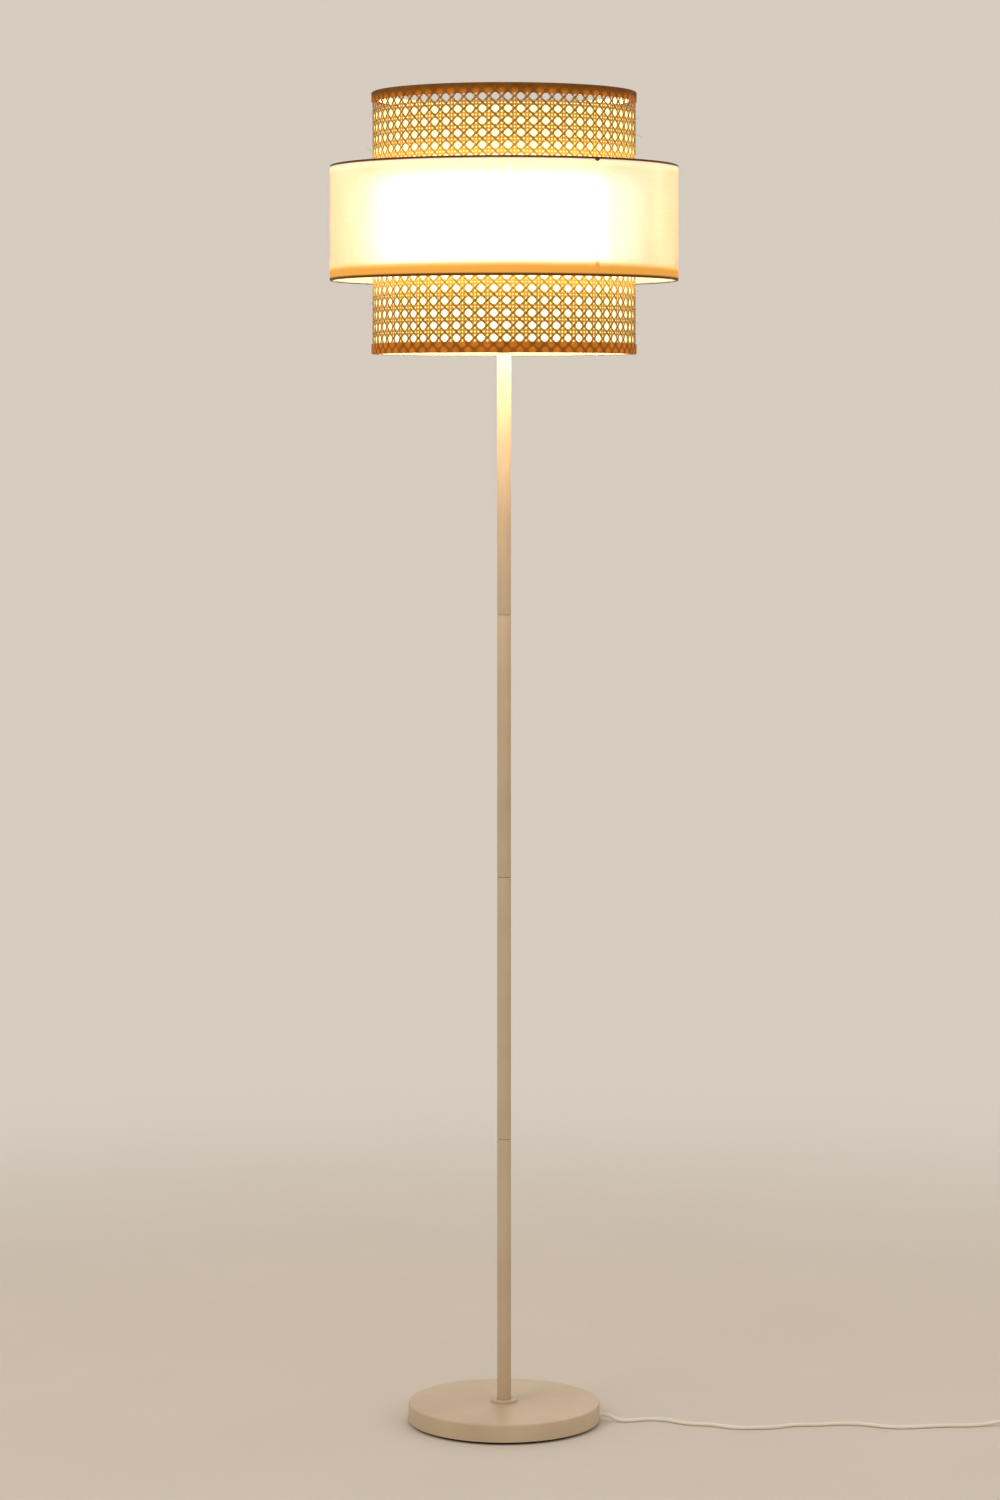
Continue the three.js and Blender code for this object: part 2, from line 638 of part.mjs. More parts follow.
// Insulating insert with the bulb's centre contact, on the dome's ledge
function lampholderInsert() {
  const bore = cordRadius + SEAT_GAP;
  const radius = HOLDER_BORE_RADIUS - SEAT_GAP;
  return turned([
    [0, insertTop],
    [radius, insertTop],
    [radius, shellBottom],
    [bore, shellBottom],
    [bore, shellBottom + INSERT_THICKNESS / 2],
    [0, shellBottom + INSERT_THICKNESS / 2],
  ], HOLDER_SIDES);
}

// Lampholder's shell: a sleeve with the flange that carries the shade
function lampholderShell() {
  return turned([
    [HOLDER_BORE_RADIUS, shellBottom],
    [HOLDER_RADIUS, shellBottom],
    [HOLDER_RADIUS, flangeTop - HOLDER_FLANGE_THICKNESS],
    [HOLDER_FLANGE_RADIUS, flangeTop - HOLDER_FLANGE_THICKNESS / 2],
    [HOLDER_FLANGE_RADIUS, flangeTop],
    [HOLDER_RADIUS, flangeTop],
    [HOLDER_RADIUS, shellTop],
    [HOLDER_BORE_RADIUS, shellTop],
  ], HOLDER_SIDES);
}

// Threaded ring that clamps the shade's fitter against the flange
function shadeRingNut() {
  const bottom = fitterTop + SEAT_GAP;
  const top = bottom + RING_NUT_HEIGHT;
  return turned([
    [fitterBore, bottom],
    [RING_NUT_RADIUS, bottom],
    [RING_NUT_RADIUS - RING_NUT_LIP, bottom + RING_NUT_HEIGHT / 2],
    [RING_NUT_RADIUS - 2 * RING_NUT_LIP, top],
    [fitterBore, top],
  ], HOLDER_SIDES);
}

function bulbCap() {
  const shoulder = bulbBottom + BULB_TIP_LENGTH;
  return turned([
    [0, bulbBottom],
    [BULB_TIP_RADIUS, bulbBottom],
    [BULB_CAP_RADIUS - BULB_TIP_LENGTH, shoulder],
    [BULB_CAP_RADIUS, shoulder + BULB_TIP_LENGTH],
    [BULB_CAP_RADIUS, bulbBottom + BULB_CAP_LENGTH],
    [0, bulbBottom + BULB_CAP_LENGTH],
  ], POLE_SIDES);
}

// Pear-shaped glass, open at the neck where the cap closes it
function bulbGlobe() {
  const centre = glassBottom + BULB_LENGTH - BULB_RADIUS;
  const neckAngle = -FULL_TURN / 10;
  const neckTop = glassBottom + (centre - glassBottom) / 4;
  const outside = arc([0, centre], BULB_RADIUS, neckAngle, FULL_TURN / 4, 5);
  const inside = arc([0, centre], BULB_RADIUS - BULB_WALL, FULL_TURN / 4, neckAngle, 5);
  return turned([
    ...inside.map(([r, z], i) => [i === 0 ? 0 : r, z]),
    [BULB_NECK_RADIUS - BULB_WALL, neckTop],
    [BULB_NECK_RADIUS - BULB_WALL, glassBottom],
    [BULB_NECK_RADIUS, glassBottom],
    [BULB_NECK_RADIUS, neckTop],
    ...outside.map(([r, z], i) => [i === outside.length - 1 ? 0 : r, z]),
  ], HOLDER_SIDES);
}

// Arms of the fitter, from its ring on the holder out and down to the shade's bottom ring
function armRods(radius) {
  const fitterMiddle = (fitterBottom + fitterTop) / 2;
  const inner = FITTER_OUTER_RADIUS - ARM_RADIUS / 2;
  return Array.from({ length: ARMS }, (_, i) => {
    const angle = ARM_FIRST_ANGLE + (i * FULL_TURN) / ARMS;
    const [x, y] = [Math.cos(angle), Math.sin(angle)];
    return rod(
      [x * inner, y * inner, fitterMiddle],
      [x * innerRingRadius, y * innerRingRadius, SHADE_BOTTOM_HEIGHT + ringInset],
      radius,
      WIRE_SIDES,
    );
  });
}

function shadeSpider() {
  const bottomRing = wireRing(innerRingRadius, SHADE_BOTTOM_HEIGHT + ringInset);
  const fitter = sleeve(fitterBore, FITTER_OUTER_RADIUS, fitterBottom, fitterTop, HOLDER_SIDES);
  const arms = armRods(ARM_RADIUS);
  // A pointed end of an arm that reaches into the bore or over the fitter is trimmed off
  const room = rod(
    [0, 0, fitterBottom - 2 * OVERRUN],
    [0, 0, fitterTop + 2 * OVERRUN],
    fitterBore,
    HOLDER_SIDES,
  );
  return cut(joined(bottomRing, fitter, ...arms), room);
}

// Spokes that carry the drum's ring through the cane's own openings
function spokeRods(height, radius) {
  const innerFlat = innerRingRadius * shadeFlatShare;
  const outerFlat = drumRingRadius * shadeFlatShare;
  return Array.from({ length: SPOKES }, (_, i) => {
    const angle = spokeFirstAngle + (i * FULL_TURN) / SPOKES;
    const [x, y] = [Math.cos(angle), Math.sin(angle)];
    return rod(
      [x * innerFlat, y * innerFlat, height],
      [x * outerFlat, y * outerFlat, height],
      radius,
      WIRE_SIDES,
    );
  });
}

function drumFrame(height) {
  return joined(
    wireRing(innerRingRadius, height),
    wireRing(drumRingRadius, height),
    ...spokeRods(height, SPOKE_RADIUS),
  );
}

// Translucent lining that the cane is glued to, punched where the spokes pass
function shadeLiner() {
  const bottom = SHADE_BOTTOM_HEIGHT + rimInset;
  const wall = sleeve(linerInner, LINER_RADIUS, bottom, shadeTop - LINER_TOP_DROP, SHADE_SIDES);
  const holes = [spokeHeight, 2 * shadeMiddle - spokeHeight].flatMap((height) =>
    spokeRods(height, SPOKE_RADIUS + SEAT_GAP));
  return cut(wall, ...holes);
}

// Cane webbing: a wall of open cells, each with a four-sided hole between its strands.
// The grid runs round the shade column by column, and the last column meets the first.
// The rows of open cells start at firstHole, and what is left above or below them is closed.
function caneWebbing(bottom, top, firstHole, cellHeight) {
  const rowHeights = Array.from({ length: CANE_ROWS + 1 }, (_, row) => firstHole + row * cellHeight);
  const heights = rowHeights.filter((height) => height > bottom && height < top);
  heights.unshift(bottom);
  heights.push(top);
  const positions = [];
  const indices = [];
  const corner = (radius, column, height) => {
    const angle = column * columnAngle;
    return [radius * Math.cos(angle), radius * Math.sin(angle), height];
  };
  const blend = (a, b, share) => a.map((value, i) => value + (b[i] - value) * share);
  const vertex = (place) => {
    positions.push(...place);
    return positions.length / 3 - 1;
  };
  const grid = [caneInner, caneOuter].map((radius) =>
    heights.map((height) =>
      Array.from({ length: SHADE_SIDES }, (_, column) => vertex(corner(radius, column, height)))));
  const quad = (a, b, c, d) => indices.push(a, b, c, a, c, d);
  for (let column = 0; column < SHADE_SIDES; column += 1) {
    const next = (column + 1) % SHADE_SIDES;
    const last = heights.length - 1;
    quad(grid[0][0][column], grid[0][0][next], grid[1][0][next], grid[1][0][column]);
    quad(grid[1][last][column], grid[1][last][next], grid[0][last][next], grid[0][last][column]);
    for (let row = 0; row < last; row += 1) {
      const [low, high] = [heights[row], heights[row + 1]];
      const open = Math.abs(high - low - cellHeight) < SEAT_GAP;
      const corners = [0, 1].map((skin) => [
        grid[skin][row][column],
        grid[skin][row][next],
        grid[skin][row + 1][next],
        grid[skin][row + 1][column],
      ]);
      if (!open) {
        quad(...corners[1]);
        quad(...[...corners[0]].reverse());
        continue;
      }
      const holes = [caneInner, caneOuter].map((radius) => {
        const middle = (low + high) / 2;
        const left = corner(radius, column, middle);
        const right = corner(radius, column + 1, middle);
        const reach = (cellHeight * CANE_HOLE_HEIGHT_SHARE) / 2;
        const centre = blend(left, right, 1 / 2);
        return [
          vertex([centre[0], centre[1], middle - reach]),
          vertex(blend(left, right, (1 + CANE_HOLE_WIDTH_SHARE) / 2)),
          vertex([centre[0], centre[1], middle + reach]),
          vertex(blend(left, right, (1 - CANE_HOLE_WIDTH_SHARE) / 2)),
        ];
      });
      for (let side = 0; side < 4; side += 1) {
        const after = (side + 1) % 4;
        const [inner, outer] = corners;
        // The strip along one edge of the cell, and the corner strip after it, on both skins
        indices.push(outer[side], outer[after], holes[1][side]);
        indices.push(outer[after], holes[1][after], holes[1][side]);
        indices.push(inner[after], inner[side], holes[0][side]);
        indices.push(inner[after], holes[0][side], holes[0][after]);
        // The hole's wall
        quad(holes[1][side], holes[1][after], holes[0][after], holes[0][side]);
      }
    }
  }
  const geometry = new THREE.BufferGeometry();
  geometry.setAttribute("position", new THREE.Float32BufferAttribute(positions, 3));
  geometry.setIndex(indices);
  return geometry;
}

function lowerCane() {
  const top = caneEdgeHeight + CANE_ROWS * caneCellHeight;
  return caneWebbing(SHADE_BOTTOM_HEIGHT + rimInset, top, caneEdgeHeight, caneCellHeight);
}

function upperCane() {
  const edge = shadeTop - TRIM_HEIGHT;
  const bottom = edge - CANE_ROWS * caneCellHeight;
  return caneWebbing(bottom, shadeTop - rimInset, bottom, caneCellHeight);
}

// Edge tape folded over the cane, the lining and the ring: [radius, distance from the rim]
function trimProfile() {
  const outer = caneOuter + SEAT_GAP + TRIM_THICKNESS;
  const inner = innerRingRadius - RING_WIRE_RADIUS - SEAT_GAP - TRIM_THICKNESS;
  return [
    [inner, 0],
    [outer, 0],
    [outer, TRIM_HEIGHT],
    [outer - TRIM_THICKNESS, TRIM_HEIGHT],
    [outer - TRIM_THICKNESS, TRIM_THICKNESS],
    [inner + TRIM_THICKNESS, TRIM_THICKNESS],
    [inner + TRIM_THICKNESS, TRIM_INNER_HEIGHT],
    [inner, TRIM_INNER_HEIGHT],
  ];
}

function bottomTrim() {
  const tape = turned(trimProfile().map(([r, d]) => [r, SHADE_BOTTOM_HEIGHT + d]), SHADE_SIDES);
  const arms = armRods(ARM_RADIUS + SEAT_GAP);
  return cut(tape, ...arms);
}

function topTrim() {
  return turned(trimProfile().map(([r, d]) => [r, shadeTop - d]), SHADE_SIDES);
}

function drumFabric() {
  return sleeve(DRUM_RADIUS - DRUM_WALL, DRUM_RADIUS, drumBottom, drumTop, SHADE_SIDES);
}

// The drum's fabric turned round its wire ring and glued back to its inside:
// [radius, distance from the drum's edge]
function hemProfile(height) {
  const outer = DRUM_RADIUS - DRUM_WALL - SEAT_GAP;
  const wrap = drumRingRadius - RING_WIRE_RADIUS - SEAT_GAP - HEM_THICKNESS;
  const back = drumRingInset + RING_WIRE_RADIUS + SEAT_GAP;
  return [
    [wrap, SEAT_GAP],
    [outer, SEAT_GAP],
    [outer, SEAT_GAP + HEM_THICKNESS],
    [wrap + HEM_THICKNESS, SEAT_GAP + HEM_THICKNESS],
    [wrap + HEM_THICKNESS, back],
    [outer, back],
    [outer, height],
    [outer - HEM_THICKNESS, height],
    [outer - HEM_THICKNESS, back + HEM_THICKNESS],
    [wrap, back + HEM_THICKNESS],
  ];
}

function drumHem(edge, direction, height) {
  const tape = turned(
    hemProfile(height).map(([r, d]) => [r, edge + direction * d]),
    SHADE_SIDES,
  );
  const spokes = spokeRods(edge + direction * drumRingInset, SPOKE_RADIUS + SEAT_GAP);
  return cut(tape, ...spokes);
}

// Coil of spare cord: one tube that spirals in and out again in stacked layers. In each layer
// the radius changes at a steady rate, and the climb to the next layer is an eased half turn
// centred where the spiral reverses.
function coilCentreline(stepsPerTurn) {
  const steps = Math.round(COIL_TURNS * stepsPerTurn);
  const place = (turn) => {
    const layer = Math.min(Math.floor(turn / turnsInLayer), COIL_LAYERS - 1);
    const along = turn / turnsInLayer - layer;
    const inward = layer % 2 === 0 ? along : 1 - along;
    const radius = coilOuter - (coilOuter - coilInner) * inward;
    let height = coilLowest;
    for (let climb = 1; climb < COIL_LAYERS; climb += 1) {
      const start = climb * turnsInLayer - 1 / 4;
      height += coilPitch * THREE.MathUtils.smoothstep(turn, start, start + 1 / 2);
    }
    const angle = COIL_START_ANGLE + turn * FULL_TURN;
    const x = COIL_START_X + radius * Math.cos(angle);
    return new THREE.Vector3(x, coilCentreY + radius * Math.sin(angle), height);
  };
  const turns = Array.from({ length: steps + 1 }, (_, i) => place((COIL_TURNS * i) / steps));
  const lead = new THREE.Vector3(CORD_DIAMETER, 0, 0);
  const start = turns[0].clone().sub(lead);
  const end = turns[steps].clone().sub(lead);
  return [start, ...turns, end];
}

function coilLeastGap() {
  const finer = 4;
  const points = coilCentreline(COIL_STEPS * finer);
  const apart = Math.round((COIL_STEPS * finer) / 2);
  let least = Infinity;
  points.forEach((point, i) => {
    for (let j = i + apart; j < points.length; j += 1) {
      least = Math.min(least, point.distanceTo(points[j]));
    }
  });
  return least - CORD_DIAMETER;
}

// A tube through the points, its rings square to the run and joined into one closed skin
function windingTube(points, radius, sides) {
  const positions = [];
  const indices = [];
  const up = new THREE.Vector3(0, 0, 1);
  points.forEach((point, i) => {
    const before = points[Math.max(0, i - 1)];
    const after = points[Math.min(points.length - 1, i + 1)];
    const along = after.clone().sub(before).normalize();
    const side = new THREE.Vector3().crossVectors(along, up).normalize();
    const over = new THREE.Vector3().crossVectors(side, along);
    for (let k = 0; k < sides; k += 1) {
      const angle = (FULL_TURN * k) / sides;
      const place = point.clone();
      place.addScaledVector(side, radius * Math.cos(angle));
      place.addScaledVector(over, radius * Math.sin(angle));
      positions.push(place.x, place.y, place.z);
    }
  });
  const last = (points.length - 1) * sides;
  for (let k = 0; k < sides; k += 1) {
    const next = (k + 1) % sides;
    for (let ring = 0; ring < last; ring += sides) {
      indices.push(ring + k, ring + sides + next, ring + next);
      indices.push(ring + k, ring + sides + k, ring + sides + next);
    }
    if (k > 1) {
      indices.push(0, k - 1, k);
      indices.push(last, last + k, last + k - 1);
    }
  }
  const geometry = new THREE.BufferGeometry();
  geometry.setAttribute("position", new THREE.Float32BufferAttribute(positions, 3));
  geometry.setIndex(indices);
  return geometry;
}

// Strap round the coil's bundle, on the side away from the lamp
function coilTie() {
  const bundleWidth = coilOuter - coilInner + CORD_DIAMETER;
  const bundleHeight = (COIL_LAYERS - 1) * coilPitch + CORD_DIAMETER;
  const room = 2 * TIE_CLEARANCE;
  const wrap = 2 * TIE_THICKNESS;
  const corner = cordRadius;
  const outside = roundedOutline(
    bundleWidth + room + wrap,
    bundleHeight + room + wrap,
    corner + TIE_THICKNESS,
  );
  const inside = roundedOutline(bundleWidth + room, bundleHeight + room, corner);
  outside.holes.push(inside);
  const options = { depth: TIE_WIDTH, bevelEnabled: false, curveSegments: 2 };
  return new THREE.ExtrudeGeometry(outside, options)
    .translate(0, 0, -TIE_WIDTH / 2)
    .rotateX(FULL_TURN / 4)
    .translate(
      COIL_START_X + COIL_MIDDLE_RADIUS,
      coilCentreY,
      TIE_THICKNESS + TIE_CLEARANCE + bundleHeight / 2,
    );
}

function switchOutline(inset) {
  return roundedOutline(
    SWITCH_LENGTH - 2 * inset,
    SWITCH_WIDTH - 2 * inset,
    SWITCH_CORNER_RADIUS - inset,
  );
}

// Tray of the foot switch, with a tapered gland at each end for the cord
function switchLowerHousing() {
  const tray = raised(switchOutline(0), 0, SWITCH_LOWER_HEIGHT);
  const hollow = raised(switchOutline(SWITCH_WALL), SWITCH_WALL, SWITCH_LOWER_HEIGHT + OVERRUN);
  const glands = [-1, 1].map((side) => {
    const gland = new THREE.CylinderGeometry(
      GLAND_TIP_RADIUS,
      GLAND_RADIUS,
      GLAND_LENGTH + SWITCH_WALL / 2,
      SMALL_SIDES,
    );
    gland.rotateZ((-side * FULL_TURN) / 4);
    const middle = SWITCH_LENGTH / 2 + (GLAND_LENGTH - SWITCH_WALL / 2) / 2;
    return gland.translate(side * middle, 0, SWITCH_CORD_HEIGHT);
  });
  return joined(cut(tray, hollow), ...glands).translate(SWITCH_X, SWITCH_Y, 0);
}

// Lid of the foot switch, bored for the button
function switchUpperHousing() {
  const bottom = SWITCH_LOWER_HEIGHT + SEAT_GAP;
  const straight = raised(switchOutline(0), bottom, switchTop - SWITCH_BEVEL);
  const options = {
    depth: SEAT_GAP,
    bevelSize: SWITCH_BEVEL,
    bevelThickness: SWITCH_BEVEL,
    bevelSegments: 1,
    curveSegments: 3,
  };
  const crown = new THREE.ExtrudeGeometry(switchOutline(SWITCH_BEVEL), options);
  crown.translate(0, 0, switchTop - SWITCH_BEVEL - SEAT_GAP);
  const hollow = raised(switchOutline(SWITCH_WALL), bottom - OVERRUN, bottom + buttonRoom);
  const middle = [0, 0, bottom];
  const bore = rod(middle, [0, 0, switchTop + OVERRUN], BUTTON_RADIUS + SEAT_GAP, HOLDER_SIDES);
  return cut(joined(straight, crown), hollow, bore).translate(SWITCH_X, SWITCH_Y, 0);
}

// Latching contact unit under the button
function switchContactBlock() {
  const flangeBottom = SWITCH_LOWER_HEIGHT + SEAT_GAP + buttonRoom - SEAT_GAP
    - BUTTON_FLANGE_THICKNESS;
  const top = flangeBottom - BUTTON_TRAVEL - SEAT_GAP;
  const height = top - SWITCH_WALL;
  return block(CONTACT_BLOCK_LENGTH, CONTACT_BLOCK_WIDTH, height)
    .translate(SWITCH_X, SWITCH_Y, SWITCH_WALL + height / 2);
}

// Push button, kept in by the flange under the lid
function switchButton() {
  const flangeTopHeight = SWITCH_LOWER_HEIGHT + SEAT_GAP + buttonRoom - SEAT_GAP;
  const flangeBottom = flangeTopHeight - BUTTON_FLANGE_THICKNESS;
  const top = switchTop + BUTTON_RISE;
  return turned([
    [0, flangeBottom],
    [BUTTON_RADIUS + BUTTON_FLANGE_WIDTH, flangeBottom],
    [BUTTON_RADIUS + BUTTON_FLANGE_WIDTH, flangeTopHeight],
    [BUTTON_RADIUS, flangeTopHeight],
    [BUTTON_RADIUS, top - BUTTON_EDGE],
    [BUTTON_RADIUS - BUTTON_EDGE, top],
    [0, top],
  ], HOLDER_SIDES).translate(SWITCH_X, SWITCH_Y, 0);
}

// Where the plug lies: its cord end, with its pins towards -X
function plugPlace() {
  const [x, y, z] = CORD_TO_PLUG_ROUTE[CORD_TO_PLUG_ROUTE.length - 1];
  return [x - SEAT_GAP, y, z];
}

function plugBody() {
  const [x, y] = plugPlace();
  const half = PLUG_WIDTH / 2 - PLUG_BEVEL;
  const rear = PLUG_REAR_WIDTH / 2 - PLUG_BEVEL;
  const front = PLUG_LENGTH - 2 * PLUG_BEVEL;
  const outline = new THREE.Shape();
  outline.moveTo(0, -rear);
  outline.lineTo(0, rear);
  outline.quadraticCurveTo(-PLUG_TAPER_LENGTH / 2, rear, -PLUG_TAPER_LENGTH, half);
  outline.lineTo(-front, half);
  outline.lineTo(-front, -half);
  outline.lineTo(-PLUG_TAPER_LENGTH, -half);
  outline.quadraticCurveTo(-PLUG_TAPER_LENGTH / 2, -rear, 0, -rear);
  const options = {
    depth: PLUG_THICKNESS - 2 * PLUG_BEVEL,
    bevelSize: PLUG_BEVEL,
    bevelThickness: PLUG_BEVEL,
    bevelSegments: 2,
    curveSegments: 3,
  };
  const body = new THREE.ExtrudeGeometry(outline, options);
  body.translate(-PLUG_RELIEF_LENGTH, 0, PLUG_BEVEL);
  const relief = new THREE.CylinderGeometry(
    cordRadius + PLUG_RELIEF_WALL,
    PLUG_RELIEF_RADIUS,
    PLUG_RELIEF_LENGTH,
    SMALL_SIDES,
  );
  relief.rotateZ(-FULL_TURN / 4).translate(-PLUG_RELIEF_LENGTH / 2, 0, PLUG_THICKNESS / 2);
  const sockets = pinPlaces().map((across) =>
    rod(
      [-PLUG_RELIEF_LENGTH - PLUG_LENGTH - OVERRUN, across, PLUG_THICKNESS / 2],
      [pinRootX() + SEAT_GAP, across, PLUG_THICKNESS / 2],
      PIN_RADIUS + SEAT_GAP,
      SMALL_SIDES,
    ),
  );
  return cut(joined(body, relief), ...sockets).translate(x, y, 0);
}

function pinPlaces() {
  return [-PIN_SPACING / 2, PIN_SPACING / 2];
}

function pinRootX() {
  return PIN_ROOT - PLUG_RELIEF_LENGTH - PLUG_LENGTH;
}

function plugPin(across) {
  const [x, y] = plugPlace();
  const length = PIN_ROOT + PIN_LENGTH;
  return turned([
    [0, 0],
    [PIN_RADIUS, 0],
    [PIN_RADIUS, length - PIN_TIP_LENGTH],
    [PIN_RADIUS - PIN_TIP_LENGTH, length],
    [0, length],
  ], SMALL_SIDES)
    .rotateY(-FULL_TURN / 4)
    .translate(x + pinRootX(), y + across, PLUG_THICKNESS / 2);
}

add("base_pad", basePad(), BLACK_FOAM);
add("base_weight", baseWeight(), CAST_IRON);
add("base_cover", baseCover(), CREAM_PAINT);
add("base_washer", baseWasher(), ZINC);
add("base_nut", baseNut(), ZINC);
add("base_stud", stud(nutBottom - STUD_BELOW_NUT, poleFoot + STUD_ENGAGEMENT), ZINC);
add("base_collar", baseCollar(), CREAM_PAINT);
add("cord_bushing", cordBushing(), WHITE_PLASTIC);
add("cord_clamp", cordClamp(), WHITE_PLASTIC);
clampScrewPlaces().forEach((place, i) => add(`cord_clamp_screw_${i + 1}`, clampScrew(place), ZINC));
add("inner_cable", innerCable(), WHITE_CORD);

for (let i = 0; i < POLE_SECTIONS; i += 1) {
  add(`pole_section_${i + 1}`, poleSection(i), CREAM_PAINT);
  if (i > 0) add(`pole_joint_stud_${i}`, poleJointStud(i), ZINC);
}
const nippleTop = holderFoot + HOLDER_CAP_FLOOR + SEAT_GAP;
add("holder_nipple", stud(POLE_TOP_HEIGHT - STUD_ENGAGEMENT, nippleTop), ZINC);

add("lampholder_cap", lampholderCap(), WHITE_PLASTIC);
add("lampholder_insert", lampholderInsert(), CERAMIC);
add("lampholder_shell", lampholderShell(), WHITE_PLASTIC);
add("shade_ring_nut", shadeRingNut(), WHITE_PLASTIC);
add("bulb_cap", bulbCap(), ZINC);
add("bulb_globe", bulbGlobe(), OPAL_GLASS);

add("shade_spider", shadeSpider(), WIRE_PAINT);
add("shade_top_ring", wireRing(innerRingRadius, shadeTop - ringInset), WIRE_PAINT);
add("drum_frame_bottom", drumFrame(spokeHeight), WIRE_PAINT);
add("drum_frame_top", drumFrame(2 * shadeMiddle - spokeHeight), WIRE_PAINT);
add("shade_liner", shadeLiner(), LINER_FILM);
add("lower_cane_webbing", lowerCane(), CANE);
add("upper_cane_webbing", upperCane(), CANE);
add("bottom_trim", bottomTrim(), TRIM_TAPE);
add("top_trim", topTrim(), TRIM_TAPE);
add("drum_fabric", drumFabric(), DRUM_LINEN);
add("drum_bottom_hem", drumHem(drumBottom, 1, HEM_HEIGHT), DRUM_LINEN);
add("drum_top_hem", drumHem(drumTop, -1, TOP_HEM_HEIGHT), DRUM_LINEN);

add("supply_cord", cordAlong(CORD_TO_SWITCH_ROUTE), WHITE_CORD);
add("switch_lower_housing", switchLowerHousing(), WHITE_PLASTIC);
add("switch_contact_block", switchContactBlock(), WHITE_PLASTIC);
add("switch_upper_housing", switchUpperHousing(), WHITE_PLASTIC);
add("switch_button", switchButton(), WHITE_PLASTIC);
add("cord_after_switch", cordAlong(CORD_TO_COIL_ROUTE), WHITE_CORD);
const coilTurns = coilCentreline(COIL_STEPS);
add("cord_coil", windingTube(coilTurns, cordRadius, COIL_SIDES), WHITE_CORD);
add("coil_tie", coilTie(), WHITE_PLASTIC);
add("cord_to_plug", cordAlong(CORD_TO_PLUG_ROUTE), WHITE_CORD);
add("plug_body", plugBody(), WHITE_PLASTIC);
add("plug_pin_left", plugPin(pinPlaces()[0]), PLATED_BRASS);
add("plug_pin_right", plugPin(pinPlaces()[1]), PLATED_BRASS);

console.log(`least gap between the coil's turns: ${coilLeastGap().toFixed(2)} mm`);

export default lamp;
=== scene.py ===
from functools import partial

import bpy
import numpy as np
from mathutils import Matrix


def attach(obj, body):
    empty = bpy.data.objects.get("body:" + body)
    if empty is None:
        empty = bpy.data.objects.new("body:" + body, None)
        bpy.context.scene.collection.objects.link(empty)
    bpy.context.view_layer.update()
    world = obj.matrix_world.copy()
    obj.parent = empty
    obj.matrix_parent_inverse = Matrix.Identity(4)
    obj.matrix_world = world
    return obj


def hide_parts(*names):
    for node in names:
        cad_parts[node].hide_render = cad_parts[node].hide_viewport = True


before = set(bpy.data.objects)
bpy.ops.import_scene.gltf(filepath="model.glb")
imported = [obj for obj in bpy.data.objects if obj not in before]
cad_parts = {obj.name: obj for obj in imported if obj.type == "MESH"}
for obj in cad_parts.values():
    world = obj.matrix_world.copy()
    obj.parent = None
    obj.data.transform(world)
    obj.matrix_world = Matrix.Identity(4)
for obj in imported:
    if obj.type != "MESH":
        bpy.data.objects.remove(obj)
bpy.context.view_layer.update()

MM = 0.001
TURN = 2 * np.pi
SMOOTH = {"interpolation_type": "SMOOTHSTEP"}

# Sizes in millimetres, the same as in the part's source
BASE_RADIUS = 110.0
PAD_TOP = 3.0
COVER_TOP = 23.0
COVER_WALL = 1.2
COLLAR_RADIUS = 15.0
COLLAR_TOP = 26.0
POLE_FOOT = 24.2
POLE_RADIUS = 8.0
POLE_SECTION = 300.975
POLE_STEP = 301.275
THREAD_CLEAR = 5.3
HOLDER_FOOT = 1229.3
HOLDER_CAP_TOP = 1247.3
HOLDER_RADIUS = 19.9
SHELL_BOTTOM = 1247.6
SHELL_TOP = 1280.6
SHELL_BORE = 14.2
FLANGE_TOP = 1260.6
RING_BORE = 20.2
FITTER_BOTTOM = 1260.9
FITTER_TOP = 1262.9
RING_NUT_BOTTOM = 1263.2
BULB_BOTTOM = 1253.9
BULB_CAP_RADIUS = 13.2
GLASS_BOTTOM = 1279.2
GLASS_RADIUS = 30.0
GLASS_WALL = 1.0
BULB_CENTRE = 1331.2
SHADE_BOTTOM = 1227.0
SHADE_TOP = 1527.0
SHADE_MIDDLE = 1377.0
LINER_OUTER = 149.4
LINER_INNER = 148.6
LINER_TOP = 1505.0
RIM_INSET = 0.9
INNER_RING = 146.55
RING_INSET = 2.65
WIRE_RADIUS = 1.75
CANE_MIDDLE = 150.5
LOWER_CANE_TOP = 1330.0
UPPER_CANE_BOTTOM = 1425.1
TRIM_OUTER = 152.2
TRIM_INNER = 143.9
TRIM_HEIGHT = 11.5
TRIM_FLAP = 9.0
TRIM_THICKNESS = 0.6
DRUM_RADIUS = 200.0
DRUM_BOTTOM = 1311.0
DRUM_TOP = 1443.0
DRUM_CLOTH = 0.8
DRUM_RING = 197.15
DRUM_RING_INSET = 2.85
HEM_HEIGHT = 14.5
TOP_HEM_HEIGHT = 8.0
CORD_RADIUS = 2.1
CORD_EXIT_HEIGHT = 7.5
SWITCH_PLACE = (635.0, -20.0)
SWITCH_BOX = (70.0, 36.0, 14.0)  # length, width and corner radius
GLAND_FOOT = 34.0
GLAND_LENGTH = 21.0
GLAND_HEIGHT = 5.0
TRAY_TOP = 10.5
LID_BOTTOM = 10.8
LID_TOP = 18.8
PLUG_PLACE = (668.7, 43.4)
PLUG_MIDDLE = 6.85
RELIEF_LENGTH = 24.0
RELIEF_RIBS = 8
PIN_LENGTH = 25.0
PIN_ASIDE = 9.3
PIN_ROOT = 52.0  # from the tip of the plug's relief back to the pins' inner ends
SLEEVE_END = 601.8  # along X, half way along the bare part of the pins

